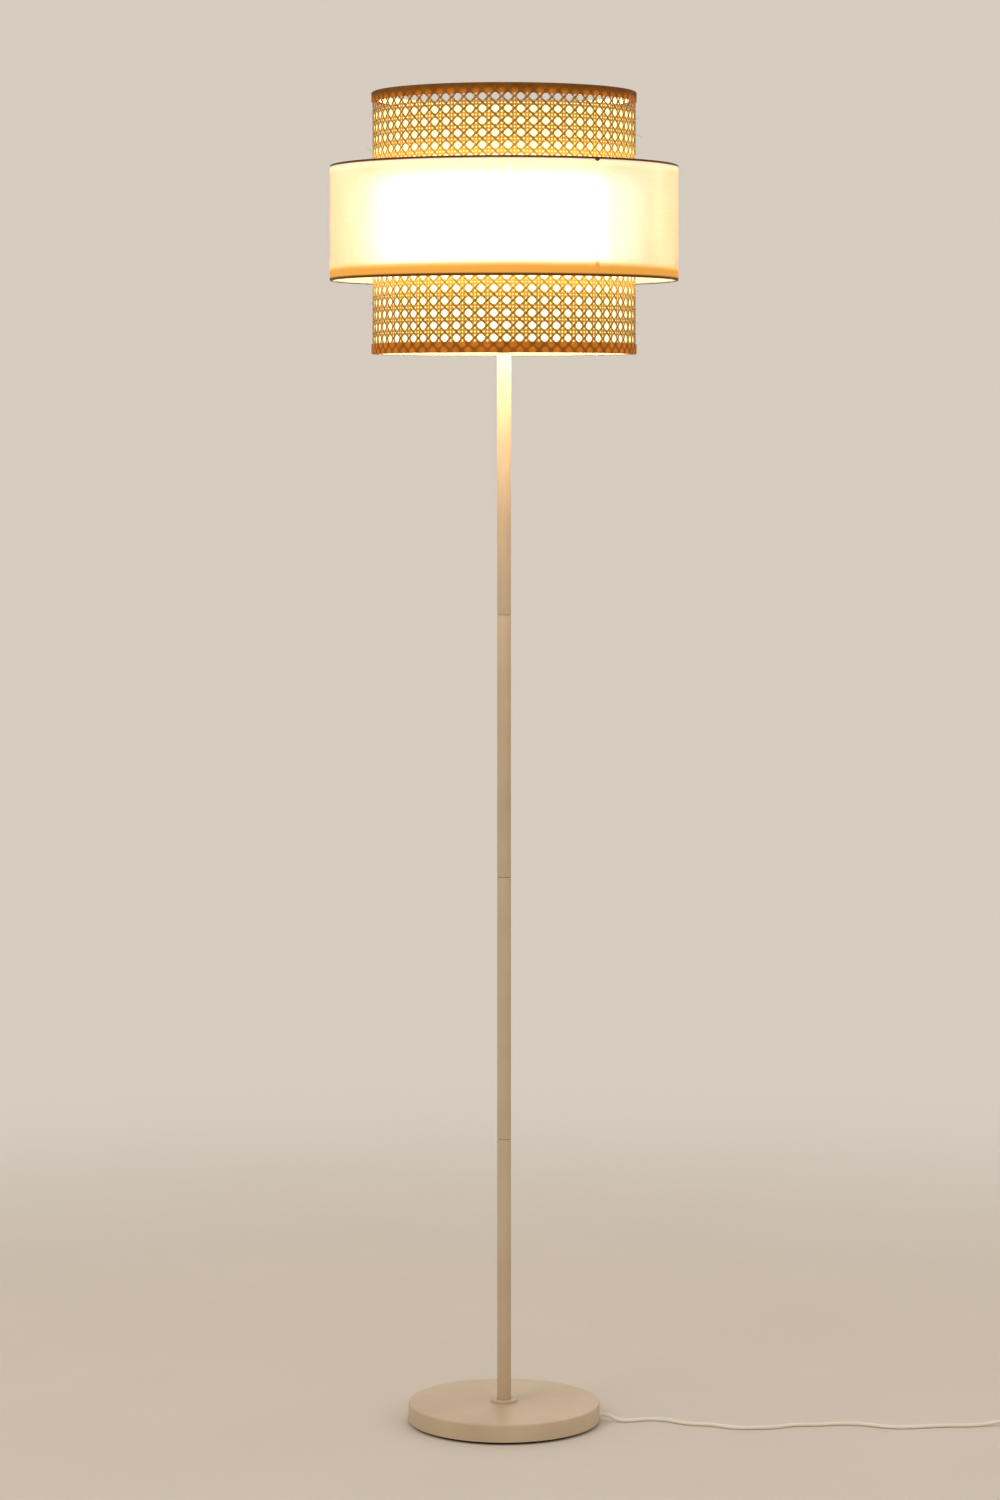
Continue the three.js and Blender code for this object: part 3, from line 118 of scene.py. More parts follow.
# The cane: columns and rows of its octagonal openings
CANE_COLUMNS = 66
CANE_PITCH = TURN * CANE_MIDDLE / CANE_COLUMNS
STRAND_WIDTH = 1.85
DIAGONAL_WIDTH = 2.0
STRAND_THICKNESS = 0.55
PAIR_HALF = 1.8  # from the middle of a pair to each of its strands
CROSSINGS = PAIR_HALF * np.arange(-2, 3)  # where a strand bends about a node
# Each band's first opening, as an angle from +X and a height, and the pitch of its rows
LOWER_HOLE, LOWER_FIRST, LOWER_PITCH = np.radians(-90 + 1.05), 1243.3, 13.85
UPPER_HOLE, UPPER_FIRST, UPPER_PITCH = np.radians(-90 + 1.64), 1444.2, 13.45


def colour(code):
    """An sRGB hex code as linear red, green, blue and alpha."""
    share = np.array([int(code[i:i + 2], 16) for i in (0, 2, 4)]) / 255
    linear = np.where(share <= 0.04045, share / 12.92, ((share + 0.055) / 1.055) ** 2.4)
    return (*(float(value) for value in linear), 1.0)


def fill(tree, node, inputs):
    """Fills a node's inputs, given by name or in their order: a node or socket is linked, a hex code
    is made a colour, and any other value is set."""
    for name, value in inputs.items() if isinstance(inputs, dict) else enumerate(inputs):
        if isinstance(value, bpy.types.Node):
            value = value.outputs[0]
        if isinstance(value, bpy.types.NodeSocket):
            tree.links.new(value, node.inputs[name])
        else:
            node.inputs[name].default_value = colour(value) if isinstance(value, str) else value


def add_node(tree, kind, inputs=(), **settings):
    """Adds one shader node with its settings, and fills its inputs."""
    node = tree.nodes.new("ShaderNode" + kind)
    for name, value in settings.items():
        setattr(node, name, value)
    fill(tree, node, inputs)
    return node


def new_material(name):
    """A new material, its node tree and the function that adds a node to it."""
    material = bpy.data.materials.new(name)
    material.use_nodes = True
    return material, material.node_tree, partial(add_node, material.node_tree)


def finish(name, look, **choices):
    """A material named for the real one. look gets the function that adds a node to its tree, adds
    its patterns, and gives what the inputs of its one Principled shader hold."""
    material, tree, add = new_material(name)
    fill(tree, tree.nodes["Principled BSDF"], look(add, **choices))
    return material


def placed(name, data):
    """A new object in the scene, at the origin."""
    made = bpy.data.objects.new(name, data)
    bpy.context.scene.collection.objects.link(made)
    return made


def normalised(vectors):
    """Vectors brought to length 1."""
    return vectors / np.linalg.norm(vectors, axis=-1, keepdims=True)


def outward(angle):
    """The level direction at an angle from +X."""
    return np.array([np.cos(angle), np.sin(angle), 0.0])


def run_to(points):
    """The length along a line up to each of its points."""
    return np.concatenate([[0], np.cumsum(np.linalg.norm(np.diff(points, axis=0), axis=1))])


def net(points, capped=True, across=None, along=None):
    """One surface over a grid of points, whose every row is a closed loop. Its two end rows are
    capped by a fan from their middle, or else the last row runs on to the first. across and along
    are the pattern coordinates, in millimetres, of the rows and of the columns."""
    rows, columns = points.shape[:2]
    index = np.arange(rows * columns).reshape(rows, columns)
    index = np.hstack([index, index[:, :1]])
    if not capped:
        index = np.vstack([index, index[:1]])
    across = np.arange(index.shape[0]) if across is None else across
    along = np.arange(index.shape[1]) if along is None else along
    pattern = np.stack(np.meshgrid(along, across), -1)
    cells = [values[a:len(values) - 1 + a, b:len(values[0]) - 1 + b]
             for values in (index, pattern) for a, b in ((0, 0), (0, 1), (1, 1), (1, 0))]
    faces = [np.stack(cells[:4], -1).reshape(-1, 4)]
    patterns = [np.stack(cells[4:], 2).reshape(-1, 4, 2)]
    flat = points.reshape(-1, 3)
    for row, turn in ((0, -1), (-1, 1)) if capped else ():
        ring = np.stack([index[row, :-1], index[row, 1:]], 1)[:, ::turn]
        edge = np.stack([pattern[row, :-1], pattern[row, 1:]], 1)[:, ::turn]
        middle = np.full((len(ring), 1), len(flat))
        flat = np.vstack([flat, flat[ring[:, 0]].mean(0)])
        faces.append(np.hstack([ring, middle]))
        patterns.append(np.concatenate([edge, edge.mean(1, keepdims=True)], 1))
    return flat, faces, patterns


def together(*nets):
    """Several surfaces as one: the corner numbers of each go on after those of the one before."""
    starts = np.cumsum([0] + [len(points) for points, _, _ in nets[:-1]])
    points = np.vstack([points for points, _, _ in nets])
    faces = [face + start for (_, faces, _), start in zip(nets, starts) for face in faces]
    return points, faces, [pattern for _, _, patterns in nets for pattern in patterns]


def moved(made, by, lean=0):
    """A surface set down at a place. With a lean of 1 or -1 it is tipped a quarter turn about Y
    first, so that what stood up along Z lies along X, or against it."""
    points, faces, patterns = made
    if lean:
        points = points[:, [2, 1, 0]] * [lean, 1, -lean]
    return points + by, faces, patterns


def put(name, made, material, *nodes, body="lamp", sharp=38, values=None):
    """Makes a surface a piece in metres, with its pattern map, its material and that one's slot, the
    body that it rides on and the nodes that it stands for."""
    points, faces, patterns = made
    corners = np.concatenate([face.ravel() for face in faces]).astype(np.int32)
    sizes = np.concatenate([np.full(len(face), face.shape[1]) for face in faces])
    mesh = bpy.data.meshes.new(name)
    mesh.vertices.add(len(points))
    mesh.vertices.foreach_set("co", (points * MM).astype(np.float32).ravel())
    mesh.loops.add(len(corners))
    mesh.loops.foreach_set("vertex_index", corners)
    mesh.polygons.add(len(sizes))
    mesh.polygons.foreach_set("loop_start", (np.cumsum(sizes) - sizes).astype(np.int32))
    mesh.update(calc_edges=True)
    layer = mesh.uv_layers.new(name="surface")
    spots = np.concatenate([pattern.reshape(-1, 2) for pattern in patterns])
    layer.data.foreach_set("uv", (spots * MM).astype(np.float32).ravel())
    for key, value in (values or {}).items():
        mesh.attributes.new(key, "FLOAT", "POINT").data.foreach_set("value", value.astype(np.float32))
    mesh.shade_smooth()
    mesh.set_sharp_from_angle(angle=np.radians(sharp))
    mesh.materials.append(material)
    piece = placed(name, mesh)
    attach(piece, body)
    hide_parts(*nodes)
    return piece


def softened(corners, reach, steps, ends=False):
    """Rounds an outline's corners: each gives way to the parabola (1-t)^2 a + 2t(1-t) c + t^2 b
    between the points a and b that lie reach before and after it. With ends, the first and last
    corner stay as they are."""
    corners = np.asarray(corners, float)
    reach = np.broadcast_to(np.asarray(reach, float), len(corners))[:, None]
    before = corners + normalised(np.roll(corners, 1, 0) - corners) * reach
    after = corners + normalised(np.roll(corners, -1, 0) - corners) * reach
    t = np.linspace(0, 1, steps + 1)[None, :, None]
    curve = (1 - t) ** 2 * before[:, None] + 2 * t * (1 - t) * corners[:, None] + t ** 2 * after[:, None]
    if ends:
        return np.vstack([corners[:1], curve[1:-1].reshape(-1, 2), corners[-1:]])
    return curve.reshape(-1, 2)


def turned(profile, sides=96, solid=False):
    """A profile of (radius, height) points swept round Z: x = r cos a, y = r sin a, z = h. It runs up
    the outside and down the inside. A solid one starts and ends near the axis and is capped there."""
    profile = np.asarray(profile, float)
    angle = TURN * np.arange(sides) / sides
    radius, height = profile[:, :1], profile[:, 1:]
    points = np.stack([radius * np.cos(angle), radius * np.sin(angle), height + 0 * angle], -1)
    line = profile if solid else np.vstack([profile, profile[:1]])
    along = profile[:, 0].max() * TURN * np.arange(sides + 1) / sides
    return net(points, solid, run_to(line), along)


def wire_ring(radius, height):
    """A ring of round wire: a circle of the wire's radius swept round Z."""
    t = TURN * np.arange(12) / 12
    return turned(np.stack([radius + WIRE_RADIUS * np.cos(t), height + WIRE_RADIUS * np.sin(t)], -1), 144)


def tube(path, radius, sides=12):
    """A round skin along a path: place + r (cos a side - sin a over), where side is level and square
    to the path, and over is square to both. The radius may change along the path."""
    path = np.asarray(path, float)
    ahead = normalised(np.gradient(path, axis=0))
    side = normalised(np.cross(ahead, [0.0, 0.0, 1.0]))
    over = np.cross(side, ahead)
    angle = (TURN * np.arange(sides) / sides)[None, :, None]
    reach = np.broadcast_to(np.asarray(radius, float), len(path))[:, None, None]
    points = path[:, None] + reach * (np.cos(angle) * side[:, None] - np.sin(angle) * over[:, None])
    return net(points, True, run_to(path), np.max(radius) * TURN * np.arange(sides + 1) / sides)


def smooth_run(route, step):
    """A route's points joined by a cubic between each two, whose slope at a point is that of the
    parabola through it and its neighbours, and cut into lengths of about step."""
    route = np.asarray(route, float)
    length = run_to(route)
    slope = np.gradient(route, length, axis=0)
    at = np.linspace(0, length[-1], int(length[-1] / step) + 1)
    i = np.clip(np.searchsorted(length, at, "right") - 1, 0, len(route) - 2)
    gap = (length[i + 1] - length[i])[:, None]
    t = (at - length[i])[:, None] / gap
    return (route[i] * (1 + 2 * t) * (1 - t) ** 2 + slope[i] * gap * t * (1 - t) ** 2
            + route[i + 1] * t ** 2 * (3 - 2 * t) + slope[i + 1] * gap * t ** 2 * (t - 1))


def rounded_box(length, width, corner, inset, steps):
    """The outline of a box with round corners, run anticlockwise and drawn in by inset. Each corner
    is a quarter of a circle in so many steps."""
    quarter = TURN / 4 * np.linspace(0, 1, steps + 1)
    start = TURN / 4 * np.arange(4)[:, None]
    signs = np.array([[1, 1], [-1, 1], [-1, -1], [1, -1]])
    middle = signs * [length / 2 - corner, width / 2 - corner]
    radius = corner - inset
    arcs = np.stack([np.cos(start + quarter), np.sin(start + quarter)], -1) * radius
    return (middle[:, None] + arcs).reshape(-1, 2)


def layered(levels, capped=False):
    """A body whose level lines are given as (outline, height) from below upwards outside."""
    points = np.stack([np.column_stack([line, np.full(len(line), height)]) for line, height in levels])
    return net(points, capped)


def camera():
    """The photograph's view, from the height and distance that the shade's ellipses give."""
    lens = bpy.data.cameras.new("camera")
    lens.lens = 96.4
    lens.sensor_width = 36.0
    lens.shift_y = -0.2
    lens.clip_end = 60.0
    eye = placed("camera", lens)
    downwards = np.radians(0.508)
    eye.location = (-0.0047, -4.6114, 1.1581)
    eye.rotation_euler = (TURN / 4 - downwards, 0.0, 0.0)
    bpy.context.scene.camera = eye


camera()


# Patterns that more than one finish uses

def drawn_out(add, surface, pace, detail=2.0):
    """Noise stretched one way over a surface: pace is how many spots go to a metre each way."""
    spread = add("Mapping", {"Vector": surface, "Scale": (*pace, 1.0)})
    return add("TexNoise", {"Vector": spread, "Scale": 1.0, "Detail": detail})


def plain_weave(add):
    """Warp and weft, each a noise drawn out along its threads. The threads are 0.6 mm apart, and are
    drawn 2.4 mm apart so that they show; slubs run on for 40 mm."""
    surface = add("UVMap", uv_map="surface").outputs[0]
    threads = [drawn_out(add, surface, pace) for pace in ((420.0, 24.0), (24.0, 420.0))]
    crossed = add("Math", threads, operation="ADD")
    return add("MapRange", (crossed, 0.75, 1.25))


def from_axis(add, parts):
    """How far a place is from the lamp's axis: the root of x^2 + y^2."""
    level = add("CombineXYZ", {"X": parts.outputs["X"], "Y": parts.outputs["Y"]})
    return add("VectorMath", (level,), operation="LENGTH").outputs["Value"]


def lamplight(add, rise, reach):
    """Light that falls with height as (1 + (rise / reach)^2)^-1.5."""
    ratio = add("Math", (rise, reach), operation="DIVIDE")
    square = add("Math", (ratio, ratio, 1.0), operation="MULTIPLY_ADD")
    return add("Math", (square, -1.5), operation="POWER")


def openings(add, parts):
    """How near a place is to an opening of the cane: cos(columns a) + cos(2 pi z / pitch), with the
    angle and height from a first opening. It is 2 in an opening's middle, and -2 where pairs cross."""
    height = parts.outputs["Z"]
    upper = add("Math", (height, SHADE_MIDDLE * MM), operation="GREATER_THAN")
    hole, first, rows = [
        add("Math", (upper, high - low, low), operation="MULTIPLY_ADD")
        for low, high in ((LOWER_HOLE, UPPER_HOLE), (LOWER_FIRST * MM, UPPER_FIRST * MM),
                          (TURN / LOWER_PITCH / MM, TURN / UPPER_PITCH / MM))
    ]
    angle = add("Math", (parts.outputs["Y"], parts.outputs["X"]), operation="ARCTAN2")
    waves = []
    for at, start, pace in ((angle, hole, CANE_COLUMNS), (height, first, rows)):
        off = add("Math", (at, start), operation="SUBTRACT")
        phase = add("Math", (off, pace), operation="MULTIPLY")
        waves.append(add("Math", (phase,), operation="COSINE"))
    return add("Math", waves, operation="ADD")


# Finishes

def grained(add, grain, tones, bump, plain, kind="TexNoise", cloud=None, patches=None, rough=None):
    """A skin with a fine grain of any kind of texture, which gives its bump, of a strength and a
    depth in millimetres, and its roughness. Its two tones meet in a coarser cloud, whose patches are
    the part between the pure tones, or else in the grain itself."""
    place = add("TexCoord").outputs["Object"]
    fine = add(kind, {"Vector": place, **grain})
    share = add("TexNoise", {"Vector": place, **cloud}) if cloud else fine
    if patches:
        share = add("MapRange", (share, *patches))
    look = {**plain, "Base Color": add("MixRGB", (share, *tones))}
    if rough:
        look["Roughness"] = add("MapRange", (fine, *rough))
    strength, depth = bump
    look["Normal"] = add("Bump", {"Strength": strength, "Distance": depth * MM, "Height": fine})
    return look


def zinc_steel(add):
    """Turned steel with a bright zinc plating: fine rings from the lathe, cloudy grey."""
    place = add("TexCoord").outputs["Object"]
    # Tool marks 0.5 mm apart up the turned pieces, drawn 1 mm apart
    marks = add("TexWave", {"Vector": place, "Scale": 320.0, "Distortion": 1.0}, bands_direction="Z")
    cloud = add("TexNoise", {"Vector": place, "Scale": 150.0, "Detail": 3.0})
    tone = add("MixRGB", (cloud, "9FA2A4", "B9BBBC"))
    rough = add("MapRange", (cloud, 0.0, 1.0, 0.28, 0.5))
    bump = add("Bump", {"Strength": 0.2, "Distance": 0.05 * MM, "Height": marks})
    return {"Metallic": 0.95, "Base Color": tone, "Roughness": rough, "Normal": bump}


def pvc_sheath(add):
    """PVC cord sheath, extruded: off-white, faint lines along it and a slightly wavy skin."""
    surface = add("UVMap", uv_map="surface").outputs[0]
    # Die lines 1.6 mm apart round the sheath, drawn out along the cord
    lines = drawn_out(add, surface, (620.0, 12.0))
    waves = drawn_out(add, surface, (60.0, 35.0))
    tone = add("MixRGB", (waves, "E2DACB", "EFE8DB"))
    rough = add("MapRange", (lines, 0.0, 1.0, 0.4, 0.62))
    height = add("Math", (lines, waves), operation="ADD")
    bump = add("Bump", {"Strength": 0.4, "Distance": 0.1 * MM, "Height": height})
    return {"IOR": 1.53, "Base Color": tone, "Roughness": rough, "Normal": bump}


def opal_glass(add):
    """Blown glass, powder coated inside to opal: smooth and glossy, evenly lit."""
    place = add("TexCoord").outputs["Object"]
    # The coat is thicker in clouds of about 22 mm
    cloud = add("TexNoise", {"Vector": place, "Scale": 45.0, "Detail": 2.0})
    glow = add("MixRGB", (cloud, "FFEFD2", "FFF6E6"))
    return {"Base Color": "FFF8EC", "Roughness": 0.12, "Coat Weight": 0.5, "Emission Color": glow,
            "Emission Strength": 9.0}


def liner_film(add):
    """White shade film, lit by the bulb: it glows most level with the bulb, and more on its inside.
    Outside, it is white through the cane's openings, and golden where light is caught behind the
    strands."""
    place = add("TexCoord").outputs["Object"]
    parts = add("SeparateXYZ", (place,))
    height = parts.outputs["Z"]
    wall = (LINER_OUTER + LINER_INNER) / 2 * MM
    outside = add("Math", (from_axis(add, parts), wall), operation="GREATER_THAN")
    rise = add("Math", (height, BULB_CENTRE * MM), operation="SUBTRACT")
    fall = lamplight(add, rise, LINER_INNER * MM)
    # Outside, the belt behind the drum is bright and plain, and the cane covers the rest
    off = add("Math", (height, (SHADE_MIDDLE + 2.5) * MM), operation="SUBTRACT")
    off = add("Math", (off,), operation="ABSOLUTE")
    caned = add("MapRange", (off, 62.5 * MM, 68.5 * MM), **SMOOTH)
    near = add("MapRange", (openings(add, parts), 0.2, 1.3, 1.0, 0.0), **SMOOTH)
    behind = add("Math", (caned, outside), operation="MULTIPLY")
    golden = add("Math", (behind, near), operation="MULTIPLY")
    belt = add("MapRange", (caned, 0.0, 1.0, 0.44, 0.16))
    belt = add("Math", (golden, 0.1, belt), operation="MULTIPLY_ADD")
    within = add("Math", (fall, 1.4), operation="MULTIPLY")
    share = add("MixRGB", (outside, within, belt))
    # Faint clouds of 4.5 mm in the film
    fibre = add("TexNoise", {"Vector": place, "Scale": 220.0, "Detail": 3.0})
    even = add("MapRange", (fibre, 0.0, 1.0, 0.92, 1.08))
    power = add("Math", (share, even), operation="MULTIPLY")
    light = add("MixRGB", (outside, "FFDFBA", "FAF3FF"))
    above = add("Math", (height, SHADE_MIDDLE * MM), operation="GREATER_THAN")
    cream = add("MixRGB", (above, "FFEFD2", "FFE8B8"))
    light = add("MixRGB", (behind, light, cream))
    light = add("MixRGB", (golden, light, "FFD270"))
    glow = add("MixRGB", (1.0, light, power), blend_type="MULTIPLY")
    # The film's own colour is painted too: yellower above the middle and golden behind the strands, as
    # painted light
    pale = add("MixRGB", (above, "F7F0DC", "F7EBCA"))
    tone = add("MixRGB", (behind, "F7F2E8", pale))
    tone = add("MixRGB", (golden, tone, "E8C06C"))
    return {"Roughness": 0.6, "Base Color": tone, "Emission Color": glow, "Emission Strength": 5.5}


def cane_skin(add):
    """Split rattan skin, soaked and woven: golden, silky, streaked along each strand. Its diagonals and
    edges are painted darker, as shade. The lamp shines through it."""
    surface = add("UVMap", uv_map="surface").outputs[0]
    place = add("TexCoord").outputs["Object"]
    # Each strand has a number of its own, and a diagonal's is over 1
    number = add("Attribute", attribute_name="strand").outputs["Fac"]
    slanted = add("Math", (number, 1.0), operation="GREATER_THAN")
    strand = add("Math", (number,), operation="FRACT")
    parts = add("SeparateXYZ", (surface,))
    # The pattern's second coordinate is 0 on the crown of a strand and 1 mm at its edges
    crown = add("Math", (parts.outputs["Y"],), operation="ABSOLUTE")
    edge = add("MapRange", (crown, 0.3 * MM, 1.2 * MM), **SMOOTH)
    # Streaks 18 mm long and a third of a millimetre wide
    spread = add("Math", (number, 40.0), operation="MULTIPLY")
    seat = add("CombineXYZ", (parts.outputs["X"], parts.outputs["Y"], spread))
    streak = drawn_out(add, seat, (55.0, 3000.0), 3.0)
    streak = add("MapRange", (streak, 0.35, 0.7))
    light = add("MixRGB", (strand, "C0862A", "E0AA44"))
    # The diagonals are painted darker, as painted shade: they lie in front of the lit film
    light = add("MixRGB", (slanted, light, "8C5E1A"))
    gold = add("MixRGB", (streak, light, "925E18"))
    # The edges are painted darker, as painted shade where each strand rounds off
    dark = add("Math", (edge, 0.85), operation="MULTIPLY")
    tone = add("MixRGB", (dark, gold, "5A2E06"))
    # Light through the strand is strongest beside the drum
    height = add("SeparateXYZ", (place,)).outputs["Z"]
    rise = add("Math", (height, SHADE_MIDDLE * MM), operation="SUBTRACT")
    fall = lamplight(add, rise, 105 * MM)
    thick = add("MapRange", (edge, 0.0, 1.0, 1.0, 0.25))
    # The diagonals lie on top, so less comes through them
    upper = add("MapRange", (slanted, 0.0, 1.0, 1.0, 0.25))
    power = add("Math", (fall, thick), operation="MULTIPLY")
    power = add("Math", (power, upper), operation="MULTIPLY")
    # The rows beside the drum's open ends catch its light as well
    away = add("Math", (rise,), operation="ABSOLUTE")
    beside = add("MapRange", (away, 68 * MM, 90 * MM, 0.4, 0.0), **SMOOTH)
    power = add("Math", (power, beside), operation="ADD")
    warm = add("MixRGB", (0.5, gold, "FFD468"))
    glow = add("MixRGB", (1.0, warm, power), blend_type="MULTIPLY")
    bump = add("Bump", {"Strength": 0.4, "Distance": 0.08 * MM, "Height": streak})
    return {"Roughness": 0.42, "IOR": 1.5, "Base Color": tone, "Emission Color": glow,
            "Emission Strength": 1.15, "Normal": bump}


def trim_tape(add):
    """Woven paper-yarn tape, folded over the rim and glued: its outside painted brown, darker than the
    tape, as shade, with the cane's openings glowing through it faintly."""
    surface = add("UVMap", uv_map="surface").outputs[0]
    place = add("TexCoord").outputs["Object"]
    parts = add("SeparateXYZ", (place,))
    height = parts.outputs["Z"]
    # Twill lines 0.9 mm apart, drawn 1.8 mm apart so that they show
    slant = add("Mapping", {"Vector": surface, "Rotation": (0.0, 0.0, 0.8), "Scale": (350.0, 350.0, 1.0)})
    twill = add("TexWave", {"Vector": slant, "Scale": 0.5, "Distortion": 1.5, "Detail": 2.0,
                            "Detail Scale": 2.0})
    cloud = add("TexNoise", {"Vector": place, "Scale": 70.0, "Detail": 4.0, "Roughness": 0.65})
    cloud = add("MapRange", (cloud, 0.35, 0.65))
    # The outside's brown is painted shade: the tape is paler, and is lit only from behind
    brown = add("MixRGB", (cloud, "6A3D05", "8C560C"))
    cloth = add("MixRGB", (twill, brown, "70450C"))
    # The flap inside is the tape's cream back
    outer = add("MapRange", (from_axis(add, parts), 147.5 * MM, CANE_MIDDLE * MM))
    tone = add("MixRGB", (outer, "B8AC98", cloth))
    # The tape at the foot takes more light than the one at the top, whose upper half takes least
    low = add("MapRange", (height, 1250 * MM, 1500 * MM, 1.0, 0.9))
    upper = add("MapRange", (height, (SHADE_TOP - 10) * MM, (SHADE_TOP - 4) * MM, 1.0, 0.04))
    low = add("Math", (low, upper), operation="MULTIPLY")
    # The cane's diagonals lie where the two waves of its openings cancel, and their painted shadows show
    # as dark lines in the glow
    lozenge = add("Math", (openings(add, parts),), operation="ABSOLUTE")
    spot = add("MapRange", (lozenge, 0.1, 1.3, 0.25, 1.0), **SMOOTH)
    uneven = add("MapRange", (cloud, 0.0, 1.0, 0.6, 1.0))
    power = add("Math", (spot, uneven), operation="MULTIPLY")
    for share in (low, outer):
        power = add("Math", (power, share), operation="MULTIPLY")
    glow = add("MixRGB", (1.0, "E0781C", power), blend_type="MULTIPLY")
    bump = add("Bump", {"Strength": 0.5, "Distance": 0.12 * MM, "Height": twill})
    return {"Roughness": 0.9, "Specular IOR Level": 0.25, "Base Color": tone, "Emission Color": glow,
            "Emission Strength": 0.65, "Normal": bump}


def drum_linen(add):
    """Linen on a shade backing, glued to the rings: plain weave with slubs. The lamp shines through,
    and less through the lapped seam, the turned-in hems and the wire at each edge. Over the hem the
    cloth is painted orange, and at each edge dark brown, as painted shade. Its angles are
    measured from the back."""
    place = add("TexCoord").outputs["Object"]
    parts = add("SeparateXYZ", (place,))
    height = parts.outputs["Z"]
    weave = plain_weave(add)
    cloud = add("TexNoise", {"Vector": place, "Scale": 14.0, "Detail": 3.0})
    # The cloth is darker from the lap's edge, 31 degrees to the right of the front, to 57 degrees,
    # where it fades out: the lap itself, and beyond it painted shade where the drum's side turns away
    angle = add("Math", (parts.outputs["X"], parts.outputs["Y"]), operation="ARCTAN2")
    start, end = np.pi - np.radians(31), np.pi - np.radians(57)
    after = add("MapRange", (angle, start, start - 0.1))
    until = add("MapRange", (angle, end - 0.05, end + 0.03))
    lap_and_side_shade = add("Math", (after, until), operation="MULTIPLY")
    offset = add("Math", (angle, start), operation="SUBTRACT")
    away = add("Math", (offset,), operation="ABSOLUTE")
    stitch = add("MapRange", (away, 0.004, 0.008, 0.3, 0.0))
    # At the seam both folded edges are thicker, so each stands 2.5 mm further in
    fold = add("MapRange", (away, 0.005, 0.02, 2.5 * MM, 0.0), **SMOOTH)
    # The hem's upper edge wavers a little
    waver = add("MapRange", (cloud, 0.0, 1.0, -1.2 * MM, 1.2 * MM))
    uneven = add("Math", (height, waver), operation="ADD")
    lowered = add("Math", (uneven, fold), operation="SUBTRACT")
    hem_top = DRUM_BOTTOM + HEM_HEIGHT
    hem = add("MapRange", (lowered, (hem_top - 5.5) * MM, (hem_top + 3) * MM, 1.0, 0.0), **SMOOTH)
    above = add("MapRange", (uneven, (DRUM_TOP - 12) * MM, (DRUM_TOP - 4) * MM), **SMOOTH)
    # Along both edges the cloth is painted dark brown: painted shade where the wire and the fold keep the
    # lamp out
    foot = add("MapRange", (height, (DRUM_BOTTOM + 1.6) * MM, (DRUM_BOTTOM + 4.2) * MM, 1.0, 0.0),
               **SMOOTH)
    raised = add("Math", (height, fold), operation="ADD")
    brow = add("MapRange", (raised, (DRUM_TOP - 3.2) * MM, (DRUM_TOP - 1.8) * MM), **SMOOTH)
    rim = add("Math", (foot, brow), operation="MAXIMUM")
    cloth = add("MixRGB", (weave, "FBF2D9", "FEF7E1"))
    # Over the hem the cloth is painted orange: painted shade where the doubled cloth lets less light
    # through
    hem_with_painted_shade = add("MixRGB", (hem, cloth, "E0A352"))
    tone = add("MixRGB", (rim, hem_with_painted_shade, "5C2E06"))
    # Light that the cloth scatters
    lit = add("MixRGB", (weave, "44360F", "4E4015"))
    shade = add("MixRGB", (above, lit, "7A7468"))
    shade = add("MixRGB", (hem, shade, "98680F"))
    # The hem's upper edge is thinner, and glows yellow
    through = add("Math", (1.0, hem), operation="SUBTRACT")
    verge = add("Math", (hem, through), operation="MULTIPLY")
    shade = add("MixRGB", (verge, shade, "9A9A00"), blend_type="ADD")
    shade = add("MixRGB", (rim, shade, "2A1404"))
    shade = add("MixRGB", (stitch, shade, "6A4412"))
    # What goes straight through
    lapped = add("MapRange", (lap_and_side_shade, 0.0, 1.0, 0.72, 0.52))
    upper = add("MapRange", (above, 0.0, 1.0, 1.0, 0.95))
    clear = add("Math", (through, lapped), operation="MULTIPLY")
    clear = add("Math", (clear, upper), operation="MULTIPLY")
    bump = add("Bump", {"Strength": 0.25, "Distance": 0.15 * MM, "Height": weave})
    return {"Roughness": 0.55, "IOR": 1.2, "Base Color": tone, "Emission Color": shade,
            "Emission Strength": 1.0, "Transmission Weight": clear, "Normal": bump}


def hem_linen(add):
    """The linen's turned-in edge, glued back inside: cream cloth, which lets light through too."""
    weave = plain_weave(add)
    tone = add("MixRGB", (weave, "F4E8CC", "FBF4E2"))
    bump = add("Bump", {"Strength": 0.3, "Distance": 0.15 * MM, "Height": weave})
    return {"Roughness": 0.8, "IOR": 1.2, "Transmission Weight": 0.6, "Emission Color": "8A7E66",
            "Emission Strength": 1.0, "Base Color": tone, "Normal": bump}


def nickel_pins(add):
    """Nickel-plated brass pins, each with a moulded nylon sleeve over its half by the plug."""
    place = add("TexCoord").outputs["Object"]
    along = add("SeparateXYZ", (place,)).outputs["X"]
    sleeve = add("Math", (along, SLEEVE_END * MM), operation="GREATER_THAN")
    # Clouds of 2 mm in the polish
    polish = add("TexNoise", {"Vector": place, "Scale": 500.0, "Detail": 3.0})
    metal = add("MixRGB", (polish, "C4BFB4", "D6D2C9"))
    tone = add("MixRGB", (sleeve, metal, "DDD6C9"))
    metallic = add("Math", (1.0, sleeve), operation="SUBTRACT")
    rough = add("MapRange", (sleeve, 0.0, 1.0, 0.22, 0.5))
    bump = add("Bump", {"Strength": 0.2, "Distance": 0.03 * MM, "Height": polish})
    return {"Base Color": tone, "Metallic": metallic, "Roughness": rough, "Normal": bump}


